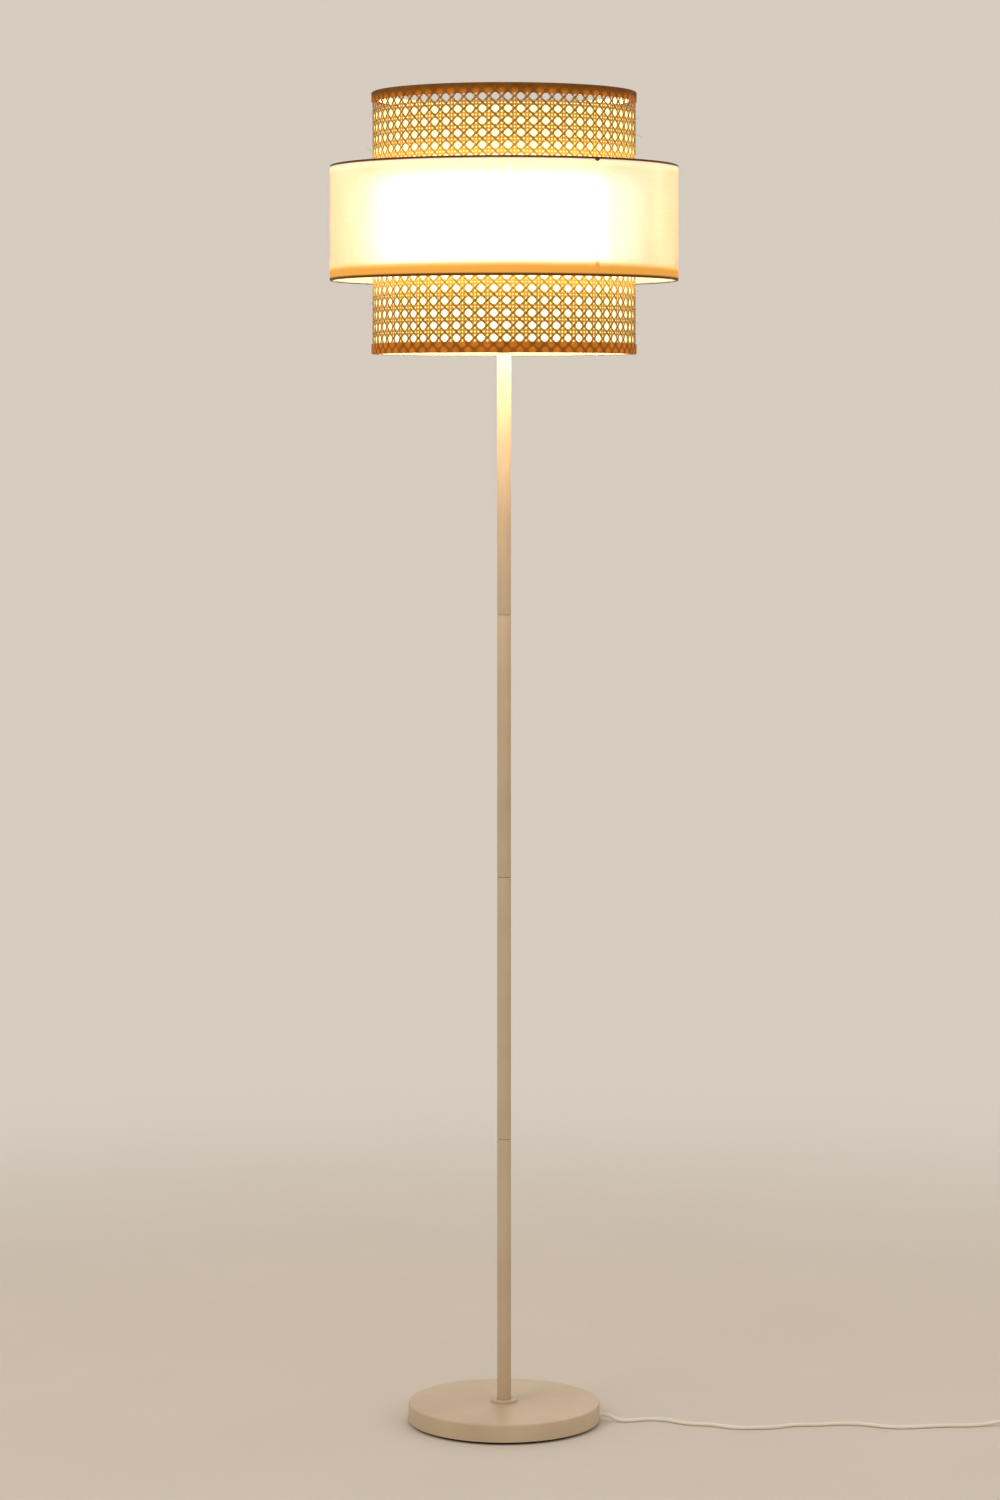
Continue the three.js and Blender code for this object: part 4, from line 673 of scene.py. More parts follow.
# Polyester powder coat on steel, sprayed and baked: satin cream with fine orange peel. The peel is
# about 0.8 mm wide; it is drawn 1.6 mm wide so that it shows
PAINT = finish("cream_powder_coat", grained, grain={"Scale": 620.0, "Detail": 2.0},
               cloud={"Scale": 9.0, "Detail": 3.0, "Roughness": 0.6}, patches=(0.35, 0.65),
               tones=("BEA88A", "C8B496"), rough=(0.3, 0.7, 0.4, 0.56), bump=(0.35, 0.06),
               plain={"IOR": 1.5, "Coat Weight": 0.08, "Coat Roughness": 0.3})
# EVA foam sheet, die cut: matt black with open cells of 1.2 mm
FOAM = finish("black_eva_foam", grained, kind="TexVoronoi", grain={"Scale": 830.0},
              tones=("161514", "2A2826"), bump=(0.6, 0.2), plain={"Roughness": 0.95})
# Grey cast iron, sand cast and left raw: dark, with the grain of sand of about 1 mm, and a little
# rust in patches
IRON = finish("raw_cast_iron", grained, grain={"Scale": 900.0, "Detail": 4.0},
              cloud={"Scale": 30.0, "Detail": 3.0}, patches=(0.55, 0.75), tones=("3B3A39", "5A4030"),
              bump=(0.8, 0.4), plain={"Metallic": 0.6, "Roughness": 0.8})
ZINC = finish("zinc_plated_steel", zinc_steel)
# ABS, injection moulded in a spark-eroded tool: off-white, softly glossy, with pebbles of 0.7 mm,
# drawn 1 mm wide
ABS = finish("moulded_white_abs", grained, grain={"Scale": 1000.0, "Detail": 2.0},
             cloud={"Scale": 40.0, "Detail": 2.0}, tones=("E6E1D6", "F0ECE3"),
             rough=(0.3, 0.7, 0.36, 0.5), bump=(0.25, 0.06), plain={"IOR": 1.52})
SHEATH = finish("extruded_pvc_sheath", pvc_sheath)
# Soft PVC, injection moulded: the plug's body, off-white with a low gloss and pebbles of 1.2 mm
PLUG_PVC = finish("moulded_soft_pvc", grained, grain={"Scale": 800.0, "Detail": 3.0},
                  cloud={"Scale": 60.0, "Detail": 2.0}, tones=("E0D8CA", "ECE5D9"),
                  rough=(0.0, 1.0, 0.45, 0.65), bump=(0.3, 0.08), plain={"IOR": 1.53})
# Steatite ceramic, pressed and fired: white with a dry skin and faint specks of 1.4 mm
STEATITE = finish("pressed_steatite", grained, grain={"Scale": 700.0, "Detail": 4.0},
                  tones=("DAD5CA", "EAE6DD"), bump=(0.3, 0.1), plain={"Roughness": 0.55})
OPAL = finish("lit_opal_glass", opal_glass)
# Epoxy-dipped steel wire: white and softly glossy, with runs 8 mm long where the coat is thick
WIRE = finish("dipped_white_wire", grained, grain={"Scale": 130.0, "Detail": 2.0},
              tones=("DCD6CA", "E9E4DA"), rough=(0.0, 1.0, 0.3, 0.5), bump=(0.4, 0.2), plain={})
FILM = finish("lit_shade_film", liner_film)
CANE = finish("woven_rattan_cane", cane_skin)
TAPE = finish("woven_trim_tape", trim_tape)
LINEN = finish("lit_drum_linen", drum_linen)
HEM = finish("folded_linen_hem", hem_linen)
PINS = finish("nickel_pin_with_sleeve", nickel_pins)


# The cord, from the base through the foot switch and the coil of spare length to the plug

TO_SWITCH = [
    [111.4, 0, 7.5], [117, -0.3, 7.3], [122, -1.8, 6.2], [128, -4.6, 4.1], [134, -6.6, 2.8],
    [141, -6.9, 2.4], [149, -4.6, 2.4], [161, -0.8, 2.4], [174.8, -0.4, 2.4], [188.5, -5.4, 2.4],
    [202.3, -15.2, 2.4], [215, -21.8, 2.4], [228, -23.4, 2.4], [238, -25.4, 2.4], [250.4, -33, 2.4],
    [264, -39.1, 2.4], [277.7, -39.8, 2.4], [291.6, -38.6, 2.4], [305.4, -37.4, 2.4],
    [319.2, -31.8, 2.4], [333.1, -26, 2.4], [346.9, -25.2, 2.4], [360.8, -24.5, 2.4],
    [381.4, -20.6, 2.4], [402, -21, 2.4], [422.5, -28.4, 2.4], [436.2, -34.8, 2.4],
    [450, -37.2, 2.4], [470.6, -35.4, 2.4], [491.4, -31, 2.4], [512, -29.3, 2.4], [528, -28.6, 2.4],
    [543, -26.4, 2.5], [556, -23, 3.1], [568, -20.5, 4.5], [579.7, -20, 5],
]
IN_SWITCH = [[590, -20, 5], [680, -20, 5]]
TO_COIL = [[690.3, -20, 5], [697, -20, 4.6], [704, -20, 4], [711, -20, 3.5]]
TO_PLUG = [
    [711, 37.4, 17.4], [703, 38.2, 15.2], [693, 40.4, 11.2], [683, 42.6, 8], [675, 43.4, 6.95],
    [669, 43.4, 6.85],
]
COIL_LAYERS = 4
COIL_TURNS = 9.5
COIL_STEPS = 48  # points in a turn
COIL_PITCH = 4.8
COIL_INNER = 17.3
COIL_OUTER = 28.7
COIL_LOWEST = 3.4
COIL_START = (722.0, 8.7)
STRAP_ROOM = 1.3


def coil_run():
    """The coil's middle line. Its angle grows evenly from straight down. In each of its layers the
    radius goes at a steady rate from outer to inner or back, and the height climbs by one pitch in
    a smooth half turn, 3t^2 - 2t^3, about each change of layer."""
    turn = np.arange(int(COIL_TURNS * COIL_STEPS) + 1) / COIL_STEPS
    in_layer = COIL_TURNS / COIL_LAYERS
    layer = np.minimum(np.floor(turn / in_layer), COIL_LAYERS - 1)
    along = turn / in_layer - layer
    inward = np.where(layer % 2 == 0, along, 1 - along)
    radius = COIL_OUTER - (COIL_OUTER - COIL_INNER) * inward
    changes = in_layer * np.arange(1, COIL_LAYERS)[:, None] - 0.25
    ease = np.clip((turn - changes) / 0.5, 0, 1)
    height = COIL_LOWEST + COIL_PITCH * (ease ** 2 * (3 - 2 * ease)).sum(0)
    angle = TURN * (turn - 0.25)
    x, y = COIL_START
    points = np.stack([x + radius * np.cos(angle), y + radius * np.sin(angle), height], -1)
    lead = np.array([2 * CORD_RADIUS, 0, 0])
    return np.vstack([points[:1] - lead, points, points[-1:] - lead])


def cord():
    """The whole cord: a round skin along the stretches of its route, and the points that it follows."""
    coil = coil_run()
    run = np.vstack([
        smooth_run(TO_SWITCH, 3.0),
        np.linspace(*IN_SWITCH, 10),
        smooth_run(TO_COIL + coil[:2].tolist(), 3.0)[:-1],
        coil[1:-1],
        smooth_run(coil[-2:].tolist() + TO_PLUG, 2.0)[1:],
    ])
    piece = put("white_supply_cord", tube(run, CORD_RADIUS), SHEATH, "supply_cord", "cord_after_switch",
                "cord_coil", "cord_to_plug")
    return piece, run


def ribbed(path, radius, depth):
    """A sleeve along a path, whose radius is drawn in by depth at each of its grooves: by the sixth
    power of a cosine, so that the ribs are broad and the grooves narrow."""
    share = np.linspace(0, 1, len(path))
    groove = np.abs(np.cos(np.pi * RELIEF_RIBS * share)) ** 6
    return tube(path, radius - depth * groove * (share > 0.04) * (share < 0.96), 24)


def switch_pieces():
    """The foot switch: a tray with a ribbed gland at each end, a lid bored for the button, and the
    button. Tray and lid are stacks of round-cornered outlines."""
    def outline(inset):
        return rounded_box(*SWITCH_BOX, inset, 8)

    def circle(radius):
        return normalised(outline(0)) * radius

    rim = outline(0.0)
    wall = outline(2.0)
    tray = layered([
        (outline(13.5), 0.0), (outline(1.0), 0.0), (outline(0.3), 0.25), (rim, 0.9),
        (rim, TRAY_TOP - 0.6), (outline(0.25), TRAY_TOP), (wall, TRAY_TOP), (wall, 2.0),
        (outline(13.5), 2.0),
    ], capped=True)
    share = np.linspace(0, 1, 40)
    out = GLAND_FOOT + GLAND_LENGTH * share
    glands = [ribbed(np.stack([side * out, 0 * share, GLAND_HEIGHT + 0 * share], -1),
                     4.6 - 1.7 * share, 0.4) for side in (-1, 1)]
    lid = layered([
        (rim, LID_BOTTOM), (rim, 16.4), (outline(0.35), 17.4), (outline(1.0), 18.2),
        (outline(2.2), LID_TOP), (circle(12.4), LID_TOP), (circle(11.6), 18.45), (circle(10.9), 18.45),
        (circle(10.3), 18.2), (circle(10.3), 16.8), (wall, 16.8), (wall, LID_BOTTOM),
    ])
    button = turned(softened([
        (0.4, 15.0), (11.6, 15.0), (11.6, 16.5), (10.0, 16.5), (10.0, 23.3), (8.2, 23.3),
        (7.2, 22.6), (0.4, 22.4),
    ], 0.5, 4, ends=True), 64, solid=True)
    made = []
    for name, shape, node, body in (
        ("switch_tray", together(tray, *glands), "switch_lower_housing", "lamp"),
        ("switch_lid", lid, "switch_upper_housing", "lamp"),
        ("switch_push_button", button, "switch_button", "foot_button"),
    ):
        made.append(put(name, moved(shape, (*SWITCH_PLACE, 0.0)), ABS, node, body=body))
    return made + [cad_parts["switch_contact_block"]]


def plug_pieces():
    """A flat two-pin plug: sections of round-cornered outline along X, whose half width grows from
    rear to front as 3t^2 - 2t^3, with a ribbed relief behind and two pins in front."""
    x, y = PLUG_PLACE
    along = np.array([-22.4, -22.9, -23.6, -24.4, -27, -30, -33, -36, -38, -42, -46, -50, -53, -54.8,
                      -55.7, -56.2, -56.4])
    t = np.clip((-24.4 - along) / 13.6, 0, 1)
    half = 6.5 + 6.5 * t ** 2 * (3 - 2 * t)
    inset = np.interp(along, [-56.4, -56.2, -55.7, -54.8, -24.4, -23.6, -22.9, -22.4],
                      [1.6, 0.9, 0.35, 0.0, 0.0, 0.35, 0.9, 1.6])
    rows = []
    for place, wide, draw in zip(along, half, inset):
        line = rounded_box(2 * wide, 2 * PLUG_MIDDLE, 3.2, draw, 5)
        rows.append(np.column_stack([np.full(len(line), place), line]))
    body = net(np.stack(rows)[::-1])
    # A shallow grip on each flat side
    points = body[0]
    grip = np.exp(-((points[:, 0] + 44) / 5.5) ** 2 - (points[:, 1] / 7.0) ** 2)
    points[:, 2] -= np.sign(points[:, 2]) * 0.9 * grip * (np.abs(points[:, 2]) > 6)
    share = np.linspace(0, 1, 72)
    path = np.stack([RELIEF_LENGTH * share - RELIEF_LENGTH, 0 * share, 0 * share], -1)
    relief = ribbed(path, 5.0 - 2.4 * share, 0.55)
    body = moved(together(body, relief), (x, y, PLUG_MIDDLE))
    made = [put("two_pin_plug", body, PLUG_PVC, "plug_body")]
    for name, across in (("plug_pin_left", -PIN_ASIDE), ("plug_pin_right", PIN_ASIDE)):
        profile = softened([(0.2, 0), (2.0, 0), (2.0, PIN_LENGTH), (0.2, PIN_LENGTH)],
                           (0, 0.2, 1.2, 0), 5, ends=True)
        pin = moved(turned(profile, 24, solid=True), (x - PIN_ROOT, y + across, PLUG_MIDDLE), lean=-1)
        made.append(put(name + "_nickel", pin, PINS, name))
    return made


def coil_strap():
    """The strap round the coil: a band along a round-cornered outline in an upright plane, with fine
    ribs across it, which swing as a cosine every 1.4 mm."""
    wide = COIL_OUTER - COIL_INNER + 2 * CORD_RADIUS
    high = (COIL_LAYERS - 1) * COIL_PITCH + 2 * CORD_RADIUS
    outline = rounded_box(wide + 2 * STRAP_ROOM, high + 2 * STRAP_ROOM, 2.9, 0, 5)
    middle = [COIL_START[0] + (COIL_OUTER + COIL_INNER) / 2, COIL_START[1],
              COIL_LOWEST - CORD_RADIUS + high / 2]
    outline = np.vstack([outline, outline[:1]])
    length = run_to(outline)
    fine = np.linspace(0, length[-1], 240, endpoint=False)
    line = np.stack([np.interp(fine, length, outline[:, k]) for k in (0, 1)], -1)
    ahead = normalised(np.roll(line, -1, 0) - np.roll(line, 1, 0))
    inward = np.stack([-ahead[:, 1], ahead[:, 0]], -1)
    rib = 0.12 * (0.5 + 0.5 * np.cos(TURN * fine / 1.4))[:, None]
    rows = []
    for depth, across, ribs in ((0.12, -3.7, 0), (0.0, -3.2, 1), (0.0, 3.2, 1), (0.12, 3.7, 0),
                                (0.4, 4.0, 0), (0.75, 3.8, 0), (0.75, -3.8, 0), (0.4, -4.0, 0)):
        at = line + inward * (depth + rib * ribs)
        rows.append(np.column_stack([at[:, 0], np.full(len(at), -across), at[:, 1]]) + middle)
    return put("coil_strap", net(np.stack(rows), False), ABS, "coil_tie")


def lay_cord():
    """Lays the cord, with the pieces on it."""
    laid, run = cord()
    with_pieces = switch_pieces() + plug_pieces() + [coil_strap()]


lay_cord()


# Base and pole

def base_pieces():
    """Foot pad, pressed cover, collar and cord bushing, each a softened profile turned round its
    axis."""
    put("foam_foot_pad", turned(softened([
        (12.0, 0.0), (BASE_RADIUS - 6, 0.0), (BASE_RADIUS - 6, PAD_TOP), (12.0, PAD_TOP),
    ], 0.4, 3), 128), FOAM, "base_pad")
    inner = BASE_RADIUS - COVER_WALL
    put("pressed_base_cover", turned(softened([
        (BASE_RADIUS, PAD_TOP), (BASE_RADIUS, COVER_TOP), (BASE_RADIUS - 34, COVER_TOP),
        (THREAD_CLEAR, COVER_TOP), (THREAD_CLEAR, COVER_TOP - COVER_WALL),
        (inner, COVER_TOP - COVER_WALL), (inner, PAD_TOP),
    ], (0.4, 2.2, 0.1, 0.3, 0.3, 1.4, 0.4), 6), 192), PAINT, "base_cover")
    recess = POLE_RADIUS + 0.3
    put("turned_base_collar", turned(softened([
        (THREAD_CLEAR, COVER_TOP), (COLLAR_RADIUS, COVER_TOP), (COLLAR_RADIUS, COLLAR_TOP),
        (recess, COLLAR_TOP), (recess, POLE_FOOT), (THREAD_CLEAR, POLE_FOOT),
    ], (0.2, 0.3, 1.3, 0.3, 0.2, 0.2), 5)), PAINT, "base_collar")
    # The bushing's profile is its radius and its distance from the lamp's axis
    bushing = turned(softened([
        (2.4, 106.3), (4.6, 106.3), (4.6, 107.5), (3.6, 107.5), (3.6, 109.6), (4.6, 109.6),
        (4.6, 110.8), (2.4, 110.8),
    ], 0.3, 3), 32)
    put("moulded_cord_bushing", moved(bushing, (0, 0, CORD_EXIT_HEIGHT), lean=1), ABS, "cord_bushing")


def pole_pieces():
    """Four tubes: a wall with chamfered ends, turned round the axis, thicker where its bushes are."""
    bush = 14.0
    chamfer = 0.4
    for i in range(4):
        low = POLE_FOOT + i * POLE_STEP
        high = low + POLE_SECTION
        profile = softened([
            (THREAD_CLEAR, low), (POLE_RADIUS - chamfer, low), (POLE_RADIUS, low + chamfer),
            (POLE_RADIUS, high - chamfer), (POLE_RADIUS - chamfer, high), (THREAD_CLEAR, high),
            (THREAD_CLEAR, high - bush), (POLE_RADIUS - 1, high - bush), (POLE_RADIUS - 1, low + bush),
            (THREAD_CLEAR, low + bush),
        ], 0.12, 2)
        put(f"pole_tube_{i + 1}", turned(profile, 64), PAINT, f"pole_section_{i + 1}")


# Lampholder, bulb and wire frame

def holder_pieces():
    """The screw-in holder, its ring nut and the bulb, each a softened profile turned round Z. The
    thread outside the sleeve is a zigzag, and the one on the bulb's cap a cosine over four rows."""
    put("lampholder_dome", turned(softened([
        (THREAD_CLEAR, HOLDER_FOOT), (10.0, HOLDER_FOOT), (10.0, HOLDER_CAP_TOP - 9.9),
        (16.5, HOLDER_CAP_TOP - 9.0), (HOLDER_RADIUS, HOLDER_CAP_TOP - 4.5),
        (HOLDER_RADIUS, HOLDER_CAP_TOP), (12.2, HOLDER_CAP_TOP), (12.2, HOLDER_CAP_TOP - 2.2),
        (10.0, HOLDER_FOOT + 8), (THREAD_CLEAR, HOLDER_FOOT + 8),
    ], (0.4, 0.5, 0.8, 2.2, 2.0, 0.5, 0.4, 0.4, 0.4, 0.4), 5), 72), ABS, "lampholder_cap")
    thread = [(HOLDER_RADIUS - 0.5 * (i % 2), 1264.0 + 0.9 * i) for i in range(18)]
    put("lampholder_sleeve", turned(softened([
        (SHELL_BORE, SHELL_BOTTOM), (HOLDER_RADIUS, SHELL_BOTTOM), (HOLDER_RADIUS, FLANGE_TOP - 3),
        (25.0, FLANGE_TOP - 1.6), (25.0, FLANGE_TOP), (HOLDER_RADIUS, FLANGE_TOP), *thread,
        (HOLDER_RADIUS, SHELL_TOP), (SHELL_BORE, SHELL_TOP),
    ], 0.25, 2), 72), ABS, "lampholder_shell")
    nut = turned(softened([
        (RING_BORE, RING_NUT_BOTTOM), (26.0, RING_NUT_BOTTOM), (25.6, RING_NUT_BOTTOM + 4),
        (24.0, RING_NUT_BOTTOM + 8), (RING_BORE, RING_NUT_BOTTOM + 8),
    ], 0.5, 4), 144)
    # Grip ribs round the nut: the radius beyond its middle swings 24 times by 0.35 mm, inwards
    points = nut[0]
    reach = np.hypot(points[:, 0], points[:, 1])
    swing = 0.35 * (0.5 - 0.5 * np.cos(24 * np.arctan2(points[:, 1], points[:, 0])))
    points[:, :2] *= (1 - (swing * (reach > 23) / reach))[:, None]
    put("ribbed_ring_nut", nut, ABS, "shade_ring_nut")
    ridge = [(BULB_CAP_RADIUS - 0.7 * (0.5 - 0.5 * np.cos(TURN * i / 4)), 1260.0 + 0.9 * i)
             for i in range(18)]
    put("bulb_screw_cap", turned(softened([
        (0.3, BULB_BOTTOM), (4.5, BULB_BOTTOM), (10.7, BULB_BOTTOM + 2.5),
        (BULB_CAP_RADIUS, BULB_BOTTOM + 5), *ridge, (BULB_CAP_RADIUS, BULB_BOTTOM + 25),
        (0.3, BULB_BOTTOM + 25),
    ], 0.3, 2, ends=True), 48, solid=True), ZINC, "bulb_cap")
    angle = np.linspace(-TURN / 10, TURN / 4, 28)[:-1]
    ball = np.stack([np.cos(angle), np.sin(angle)], -1)
    inner, outer = [np.vstack([ball * radius, [[0.2, radius]]]) + [0, BULB_CENTRE]
                    for radius in (GLASS_RADIUS - GLASS_WALL, GLASS_RADIUS)]
    neck_top = GLASS_BOTTOM + (BULB_CENTRE - GLASS_BOTTOM) / 4
    neck = softened([(12.0, neck_top), (12.0, GLASS_BOTTOM), (13.0, GLASS_BOTTOM), (13.0, neck_top)],
                    (0.05, 0.2, 0.2, 0.05), 2)
    put("opal_bulb", turned(np.vstack([inner[::-1], neck, outer]), 72, solid=True), OPAL, "bulb_globe")


def frame_pieces():
    """Wire rings, the fitter with its three arms, and the spokes that carry the drum."""
    fitter = turned(softened([
        (RING_BORE, FITTER_BOTTOM), (27.0, FITTER_BOTTOM), (27.0, FITTER_TOP), (RING_BORE, FITTER_TOP),
    ], 0.4, 4))
    share = np.linspace(0, 1, 40)[:, None]
    arms = []
    for angle in TURN / 4 + TURN * np.arange(3) / 3:
        start = outward(angle) * 25.5 + [0, 0, (FITTER_BOTTOM + FITTER_TOP) / 2]
        end = outward(angle) * INNER_RING + [0, 0, SHADE_BOTTOM + RING_INSET]
        arms.append(tube(start + (end - start) * share, 2.0, 16))
    ring = wire_ring(INNER_RING, SHADE_BOTTOM + RING_INSET)
    put("shade_fitter_arms", together(ring, fitter, *arms), WIRE, "shade_spider")
    put("top_wire_ring", wire_ring(INNER_RING, SHADE_TOP - RING_INSET), WIRE, "shade_top_ring")
    for name, node, height in (
        ("drum_wire_bottom", "drum_frame_bottom", DRUM_BOTTOM + DRUM_RING_INSET),
        ("drum_wire_top", "drum_frame_top", DRUM_TOP - DRUM_RING_INSET),
    ):
        parts = [wire_ring(INNER_RING, height), wire_ring(DRUM_RING, height)]
        for angle in TURN / 8 + TURN * np.arange(4) / 4:
            path = outward(angle) * (INNER_RING + (DRUM_RING - INNER_RING) * share) + [0, 0, height]
            parts.append(tube(path, 1.5, 14))
        put(name, together(*parts), WIRE, node)


# The shade

def liner():
    """The film cylinder: a thin wall turned round the axis."""
    levels = np.linspace(SHADE_BOTTOM + RIM_INSET, LINER_TOP, 24)
    outside = np.stack([np.full(24, LINER_OUTER), levels], -1)
    inside = np.stack([np.full(24, LINER_INNER), levels[::-1]], -1)
    put("shade_film", turned(np.vstack([outside, inside]), 144), FILM, "shade_liner")


def strands(middle, sideways, width, radial, closed, random):
    """A family of flat woven strands. middle holds the middle lines, strand by strand, as (arc,
    height) on the cane's cylinder, and radial how far each point stands out from it. Each strand
    has a D-shaped section of five points, flat inside and crowned outside, set across its run."""
    across = np.array([-0.5, 0.5, 0.44, 0.0, -0.44])
    proud = np.array([-0.5, -0.5, 0.12, 0.5, 0.12]) * STRAND_THICKNESS
    wide = width * random.uniform(0.9, 1.1, len(middle))[:, None, None]
    flat = middle[:, :, None, :] + (across * wide)[..., None] * np.asarray(sideways, float)
    reach = CANE_MIDDLE + radial[:, :, None] + proud
    angle = flat[..., 0] / CANE_MIDDLE
    points = np.stack([reach * np.cos(angle), reach * np.sin(angle), flat[..., 1]], -1)
    run = run_to(middle[0])
    if closed:
        run = np.append(run, 2 * run[-1] - run[-2])
    made = together(*(net(strand, not closed, run, np.arange(-3.0, 3.0)) for strand in points))
    # The pattern map runs along the strand first
    made = made[0], made[1], [pattern[..., ::-1] for pattern in made[2]]
    each = len(points[0]) * 5 + (0 if closed else 2)
    return made, np.repeat(random.uniform(0, 1, len(points)), each)


def cane_band(which, low, high, hole, row_pitch, first_hole, seed, whiskers):
    """A band of octagonal open cane. Pairs of upright and level strands cross at nodes, and single
    diagonals both ways cross midway between the nodes. hole is the angle of an opening's middle,
    and first_hole its height. Uprights and levels pass over and under each other as sin(pi d / s)
    about a node; one diagonal stands out as cos(2 pi x / pitch), and the other the other way.
    whiskers are loose fibres, each an angle, a height, a lean and a length."""
    random = np.random.default_rng(seed)
    start = CANE_MIDDLE * hole + CANE_PITCH / 2
    lift = 0.42 * STRAND_THICKNESS
    span = CROSSINGS[-1]

    def weave(distance, pitch):
        off = (distance + pitch / 2) % pitch - pitch / 2
        return np.where(np.abs(off) < span, np.sin(np.pi * off / span), 0.0)

    columns = (start + CANE_PITCH * np.arange(CANE_COLUMNS))[:, None]
    node_row = first_hole + row_pitch / 2
    # An upright's points are at its ends and about every node between them
    rows = np.arange(np.floor((low - node_row) / row_pitch), np.ceil((high - node_row) / row_pitch) + 1)
    heights = (node_row + row_pitch * rows[:, None] + CROSSINGS).ravel()
    heights = [[low], heights[(heights > low + 0.3) & (heights < high - 0.3)], [high]]
    heights = np.concatenate(heights)
    families = []
    for side in (-1, 1):
        slip = random.normal(0, 0.12, (CANE_COLUMNS, 1))
        phase = random.uniform(0, TURN, (CANE_COLUMNS, 1))
        wander = 0.14 * np.sin(heights / 17.0 + phase)
        arc = columns + side * PAIR_HALF + slip + wander
        middle = np.stack([arc, np.broadcast_to(heights, arc.shape)], -1)
        radial = -side * lift * weave(heights - node_row, row_pitch) * np.ones_like(arc)
        families.append(strands(middle, (-1, 0), STRAND_WIDTH, radial, False, random))
    ring_rows = np.arange(np.ceil((low + 3 - node_row) / row_pitch),
                          np.floor((high - 3 - node_row) / row_pitch) + 1)[:, None]
    arcs = (columns + CROSSINGS).ravel()
    for side in (-1, 1):
        phase = random.uniform(0, TURN, ring_rows.shape)
        level = node_row + row_pitch * ring_rows + side * PAIR_HALF
        level = level + 0.16 * np.sin(7 * arcs / CANE_MIDDLE + phase)
        middle = np.stack([np.broadcast_to(arcs, level.shape), level], -1)
        radial = side * lift * weave(arcs - start, CANE_PITCH) * np.ones_like(level)
        families.append(strands(middle, (0, 1), STRAND_WIDTH, radial, True, random))
    steps = np.linspace(low, high, int((high - low) / row_pitch * 5) + 1)
    for way in (-1, 1):
        slip = random.normal(0, 0.15, (CANE_COLUMNS, 1))
        run = way * (steps - node_row) / row_pitch * CANE_PITCH
        arc = columns + CANE_PITCH / 2 + run + slip
        middle = np.stack([arc, np.broadcast_to(steps, arc.shape)], -1)
        radial = way * 1.25 * lift * np.cos(TURN * (arc - start) / CANE_PITCH)
        lean = normalised(np.array([-row_pitch, way * CANE_PITCH]))
        made, numbers = strands(middle, lean, DIAGONAL_WIDTH, radial, False, random)
        families.append((made, 1.02 + 0.96 * numbers))
    for angle, height, lean, length in whiskers:
        share = np.linspace(0, 1, 7)[:, None]
        out = outward(angle)
        aside = np.array([-out[1], out[0], 0.0])
        path = (out * (CANE_MIDDLE + 0.3) + [0, 0, height]
                + length * share * (out * 0.9 + aside * lean)
                + length * lean * share ** 2 * np.array([0.0, 0.0, 1.0]))
        hair = tube(path, 0.22 * (1 - 0.7 * share[:, 0]), 6)
        families.append((hair, np.full(len(hair[0]), 0.9)))
    made = together(*(family for family, _ in families))
    values = np.concatenate([strand for _, strand in families])
    put(f"{which}_cane_weave", made, CANE, f"{which}_cane_webbing", sharp=70, values={"strand": values})


def cane_pieces():
    """The two bands of cane, below and above the drum."""
    cane_band("lower", SHADE_BOTTOM + RIM_INSET, LOWER_CANE_TOP, LOWER_HOLE, LOWER_PITCH, LOWER_FIRST, 11,
              [(np.radians(4), 1262.0, 0.5, 7.0), (np.radians(-172), 1285.0, -0.4, 8.0),
               (np.radians(-6), 1300.0, -0.3, 6.0), (np.radians(95), 1270.0, 0.6, 8.0)])
    cane_band("upper", UPPER_CANE_BOTTOM, SHADE_TOP - RIM_INSET, UPPER_HOLE, UPPER_PITCH, UPPER_FIRST, 12,
              [(np.radians(-3), 1496.0, 0.5, 7.0), (np.radians(2), 1479.0, -0.4, 9.0),
               (np.radians(-177), 1460.0, 0.4, 8.0), (np.radians(-171), 1502.0, -0.5, 6.0),
               (np.radians(80), 1475.0, 0.5, 7.0), (np.radians(130), 1490.0, -0.6, 8.0)])


def at_rim(fold, edge, way):
    """The profile of a folded edge, set at the height of a rim: upwards with a way of 1, and with -1
    downwards and run the other way, so that its faces still point outwards."""
    return np.stack([fold[:, 0], edge + way * fold[:, 1]], -1)[::way]


def trims():
    """The tape over each rim: a thin folded strip, outside over the cane and down inside. Outside it
    waves a little, as glued tape does: sin(23 a) sin(7 a + 1)."""
    outer, inner = TRIM_OUTER - TRIM_THICKNESS, TRIM_INNER + TRIM_THICKNESS
    fold = softened([
        (TRIM_INNER, TRIM_FLAP), (TRIM_INNER, 0.0), (TRIM_OUTER, 0.0), (TRIM_OUTER, TRIM_HEIGHT),
        (outer, TRIM_HEIGHT), (outer, TRIM_THICKNESS), (inner, TRIM_THICKNESS), (inner, TRIM_FLAP),
    ], (0.25, 1.6, 1.6, 0.25, 0.25, 1.2, 1.2, 0.25), 5)
    for name, node, edge, way in (("bottom_rim_tape", "bottom_trim", SHADE_BOTTOM, 1),
                                  ("top_rim_tape", "top_trim", SHADE_TOP, -1)):
        tape = turned(at_rim(fold, edge, way), 256)
        points = tape[0]
        angle = np.arctan2(points[:, 1], points[:, 0])
        wave = 0.16 * np.sin(23 * angle) * np.sin(7 * angle + 1) - 0.1
        proud = 1 + wave * (np.hypot(points[:, 0], points[:, 1]) > 151) / TRIM_OUTER
        points[:, :2] *= proud[:, None]
        put(name, tape, TAPE, node, sharp=50)


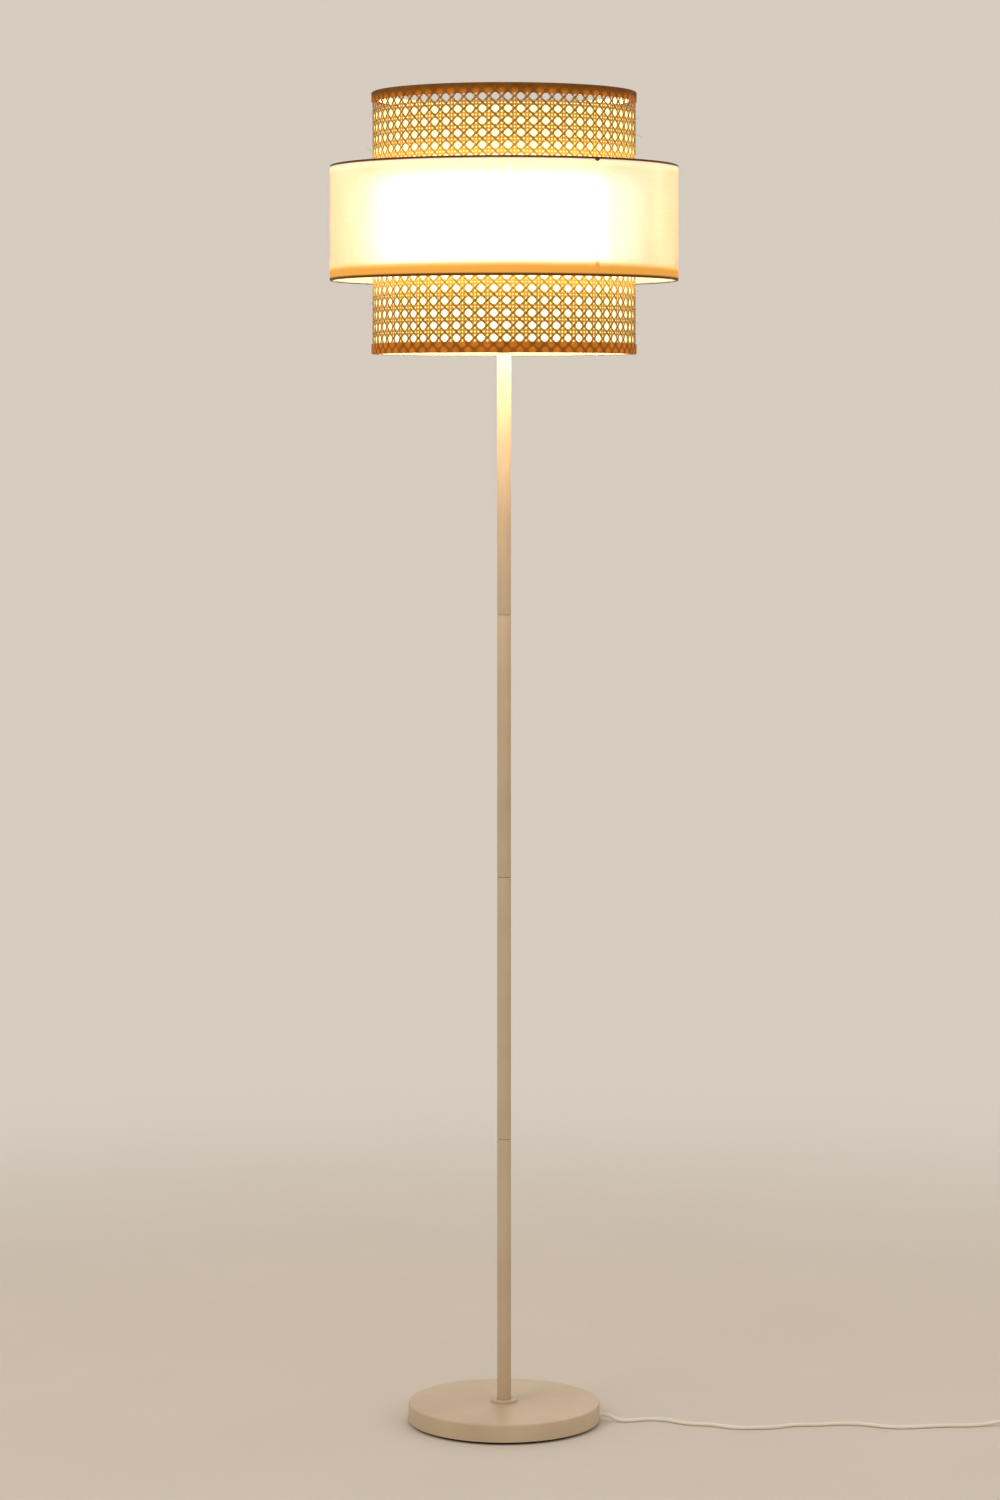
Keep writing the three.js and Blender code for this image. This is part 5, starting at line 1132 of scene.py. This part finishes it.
def drum_pieces():
    """The drum's cloth, rolled in over its wire at both edges, and the two glued-in hems."""
    outer, inner = DRUM_RADIUS, DRUM_RADIUS - DRUM_CLOTH
    rolled = outer - 2.4
    cloth = softened([
        (outer, DRUM_BOTTOM), (outer, DRUM_TOP), (rolled, DRUM_TOP), (rolled, DRUM_TOP - 0.6),
        (inner, DRUM_TOP - DRUM_CLOTH), (inner, DRUM_BOTTOM + DRUM_CLOTH), (rolled, DRUM_BOTTOM + 0.6),
        (rolled, DRUM_BOTTOM),
    ], (1.6, 1.6, 0.2, 0.2, 1.0, 1.0, 0.2, 0.2), 6)
    drum = put("drum_linen_sheet", turned(cloth, 256), LINEN, "drum_fabric", sharp=60)
    face = inner - 0.3
    wrap = DRUM_RING - WIRE_RADIUS - DRUM_CLOTH
    back = DRUM_RING_INSET + WIRE_RADIUS + 0.3
    for name, node, edge, way, height in (
        ("folded_bottom_hem", "drum_bottom_hem", DRUM_BOTTOM, 1, HEM_HEIGHT),
        ("folded_top_hem", "drum_top_hem", DRUM_TOP, -1, TOP_HEM_HEIGHT),
    ):
        fold = softened([
            (wrap, 0.9), (face, 0.9), (face, 1.4), (wrap + 0.5, 1.4), (wrap + 0.5, back),
            (face, back), (face, height), (face - 0.5, height), (face - 0.5, back + 0.5),
            (wrap, back + 0.5),
        ], (1.2, 0.2, 0.2, 0.8, 0.8, 0.3, 0.2, 0.2, 0.3, 1.2), 5)
        put(name, turned(at_rim(fold, edge, way), 192), HEM, node, sharp=50)


base_pieces()
pole_pieces()
holder_pieces()
frame_pieces()
liner()
cane_pieces()
trims()
drum_pieces()


# Nodes that stay as the model has them, each in its real finish

HIDDEN = {
    IRON: ["base_weight"],
    ZINC: ["base_washer", "base_nut", "base_stud", "pole_joint_stud_1", "pole_joint_stud_2",
           "pole_joint_stud_3", "holder_nipple", "cord_clamp_screw_1", "cord_clamp_screw_2"],
    ABS: ["cord_clamp", "switch_contact_block"],
    PLUG_PVC: ["inner_cable"],
    STEATITE: ["lampholder_insert"],
}
for material, names in HIDDEN.items():
    for name in names:
        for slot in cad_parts[name].material_slots:
            slot.material = material


# Floor, background and light

BACKGROUND = "D6CCC0"


def background_rays(add):
    """1 for the rays that see the plain background: the camera's own, and those that gloss or glass
    sends on."""
    path = add("LightPath")
    seen = add("Math", (path.outputs["Is Camera Ray"], path.outputs["Is Glossy Ray"]), operation="ADD")
    return add("Math", (seen, path.outputs["Is Transmission Ray"]), operation="ADD", use_clamp=True)


def floor():
    """A wide disc, 64 points in a circle of 14 m. Its shade fades into the background's far out."""
    disc = bpy.data.meshes.new("floor")
    angle = TURN * np.arange(64) / 64
    rim = 14 * np.stack([np.cos(angle), np.sin(angle), 0 * angle], -1)
    disc.from_pydata(rim.tolist(), [], [list(range(64))])
    piece = placed("floor", disc)
    material, tree, add = new_material("pale_floor")
    place = add("TexCoord").outputs["Object"]
    reach = add("VectorMath", (place,), operation="LENGTH").outputs["Value"]
    far = add("MapRange", (reach, 0.7, 2.4), **SMOOTH)
    share = add("Math", (far, background_rays(add)), operation="MULTIPLY")
    cloud = add("TexNoise", {"Vector": place, "Scale": 3.0, "Detail": 4.0})
    tone = add("MixRGB", (cloud, "D3CABE", "DAD1C6"))
    matt = add("BsdfDiffuse", {"Color": tone})
    plain = add("Emission", {"Color": BACKGROUND})
    mix = add("MixShader", (share, matt, plain))
    fill(tree, tree.nodes["Material Output"], {"Surface": mix})
    disc.materials.append(material)


def surroundings():
    """Soft even light from all round, and the plain background that the camera sees."""
    world = bpy.data.worlds.new("studio")
    world.use_nodes = True
    bpy.context.scene.world = world
    tree = world.node_tree
    add = partial(add_node, tree)
    soft = tree.nodes["Background"]
    fill(tree, soft, {"Color": "FFF9F2", "Strength": 0.62})
    plain = add("Background", {"Color": BACKGROUND, "Strength": 1.0})
    mix = add("MixShader", (background_rays(add), soft, plain))
    fill(tree, tree.nodes["World Output"], {"Surface": mix})


def soft_box(name, place, target, size, power, code):
    """A square lamp of a size in metres and a power in watts, turned from its place to a target."""
    light = bpy.data.lights.new(name, "AREA")
    light.size = size
    light.energy = power
    light.color = colour(code)[:3]
    ahead = normalised(np.array(target) - np.array(place))
    side = normalised(np.cross(ahead, [0, 0, 1.0]))
    over = np.cross(side, ahead)
    turn = Matrix(np.stack([side, over, -ahead], 1).tolist()).to_4x4()
    placed(name, light).matrix_world = Matrix.Translation(place) @ turn


floor()
surroundings()
soft_box("key_light", (-2.4, -2.6, 3.0), (0, 0, 0.6), 1.6, 42.0, "FFF6EA")
soft_box("fill_light", (2.8, -2.0, 2.2), (0, 0, 0.8), 2.0, 16.0, "FFF9F2")
soft_box("rear_light", (0.6, 3.2, 2.4), (0, 0, 0.8), 1.6, 14.0, "FFF9F2")
bpy.context.scene.view_settings.view_transform = "Standard"
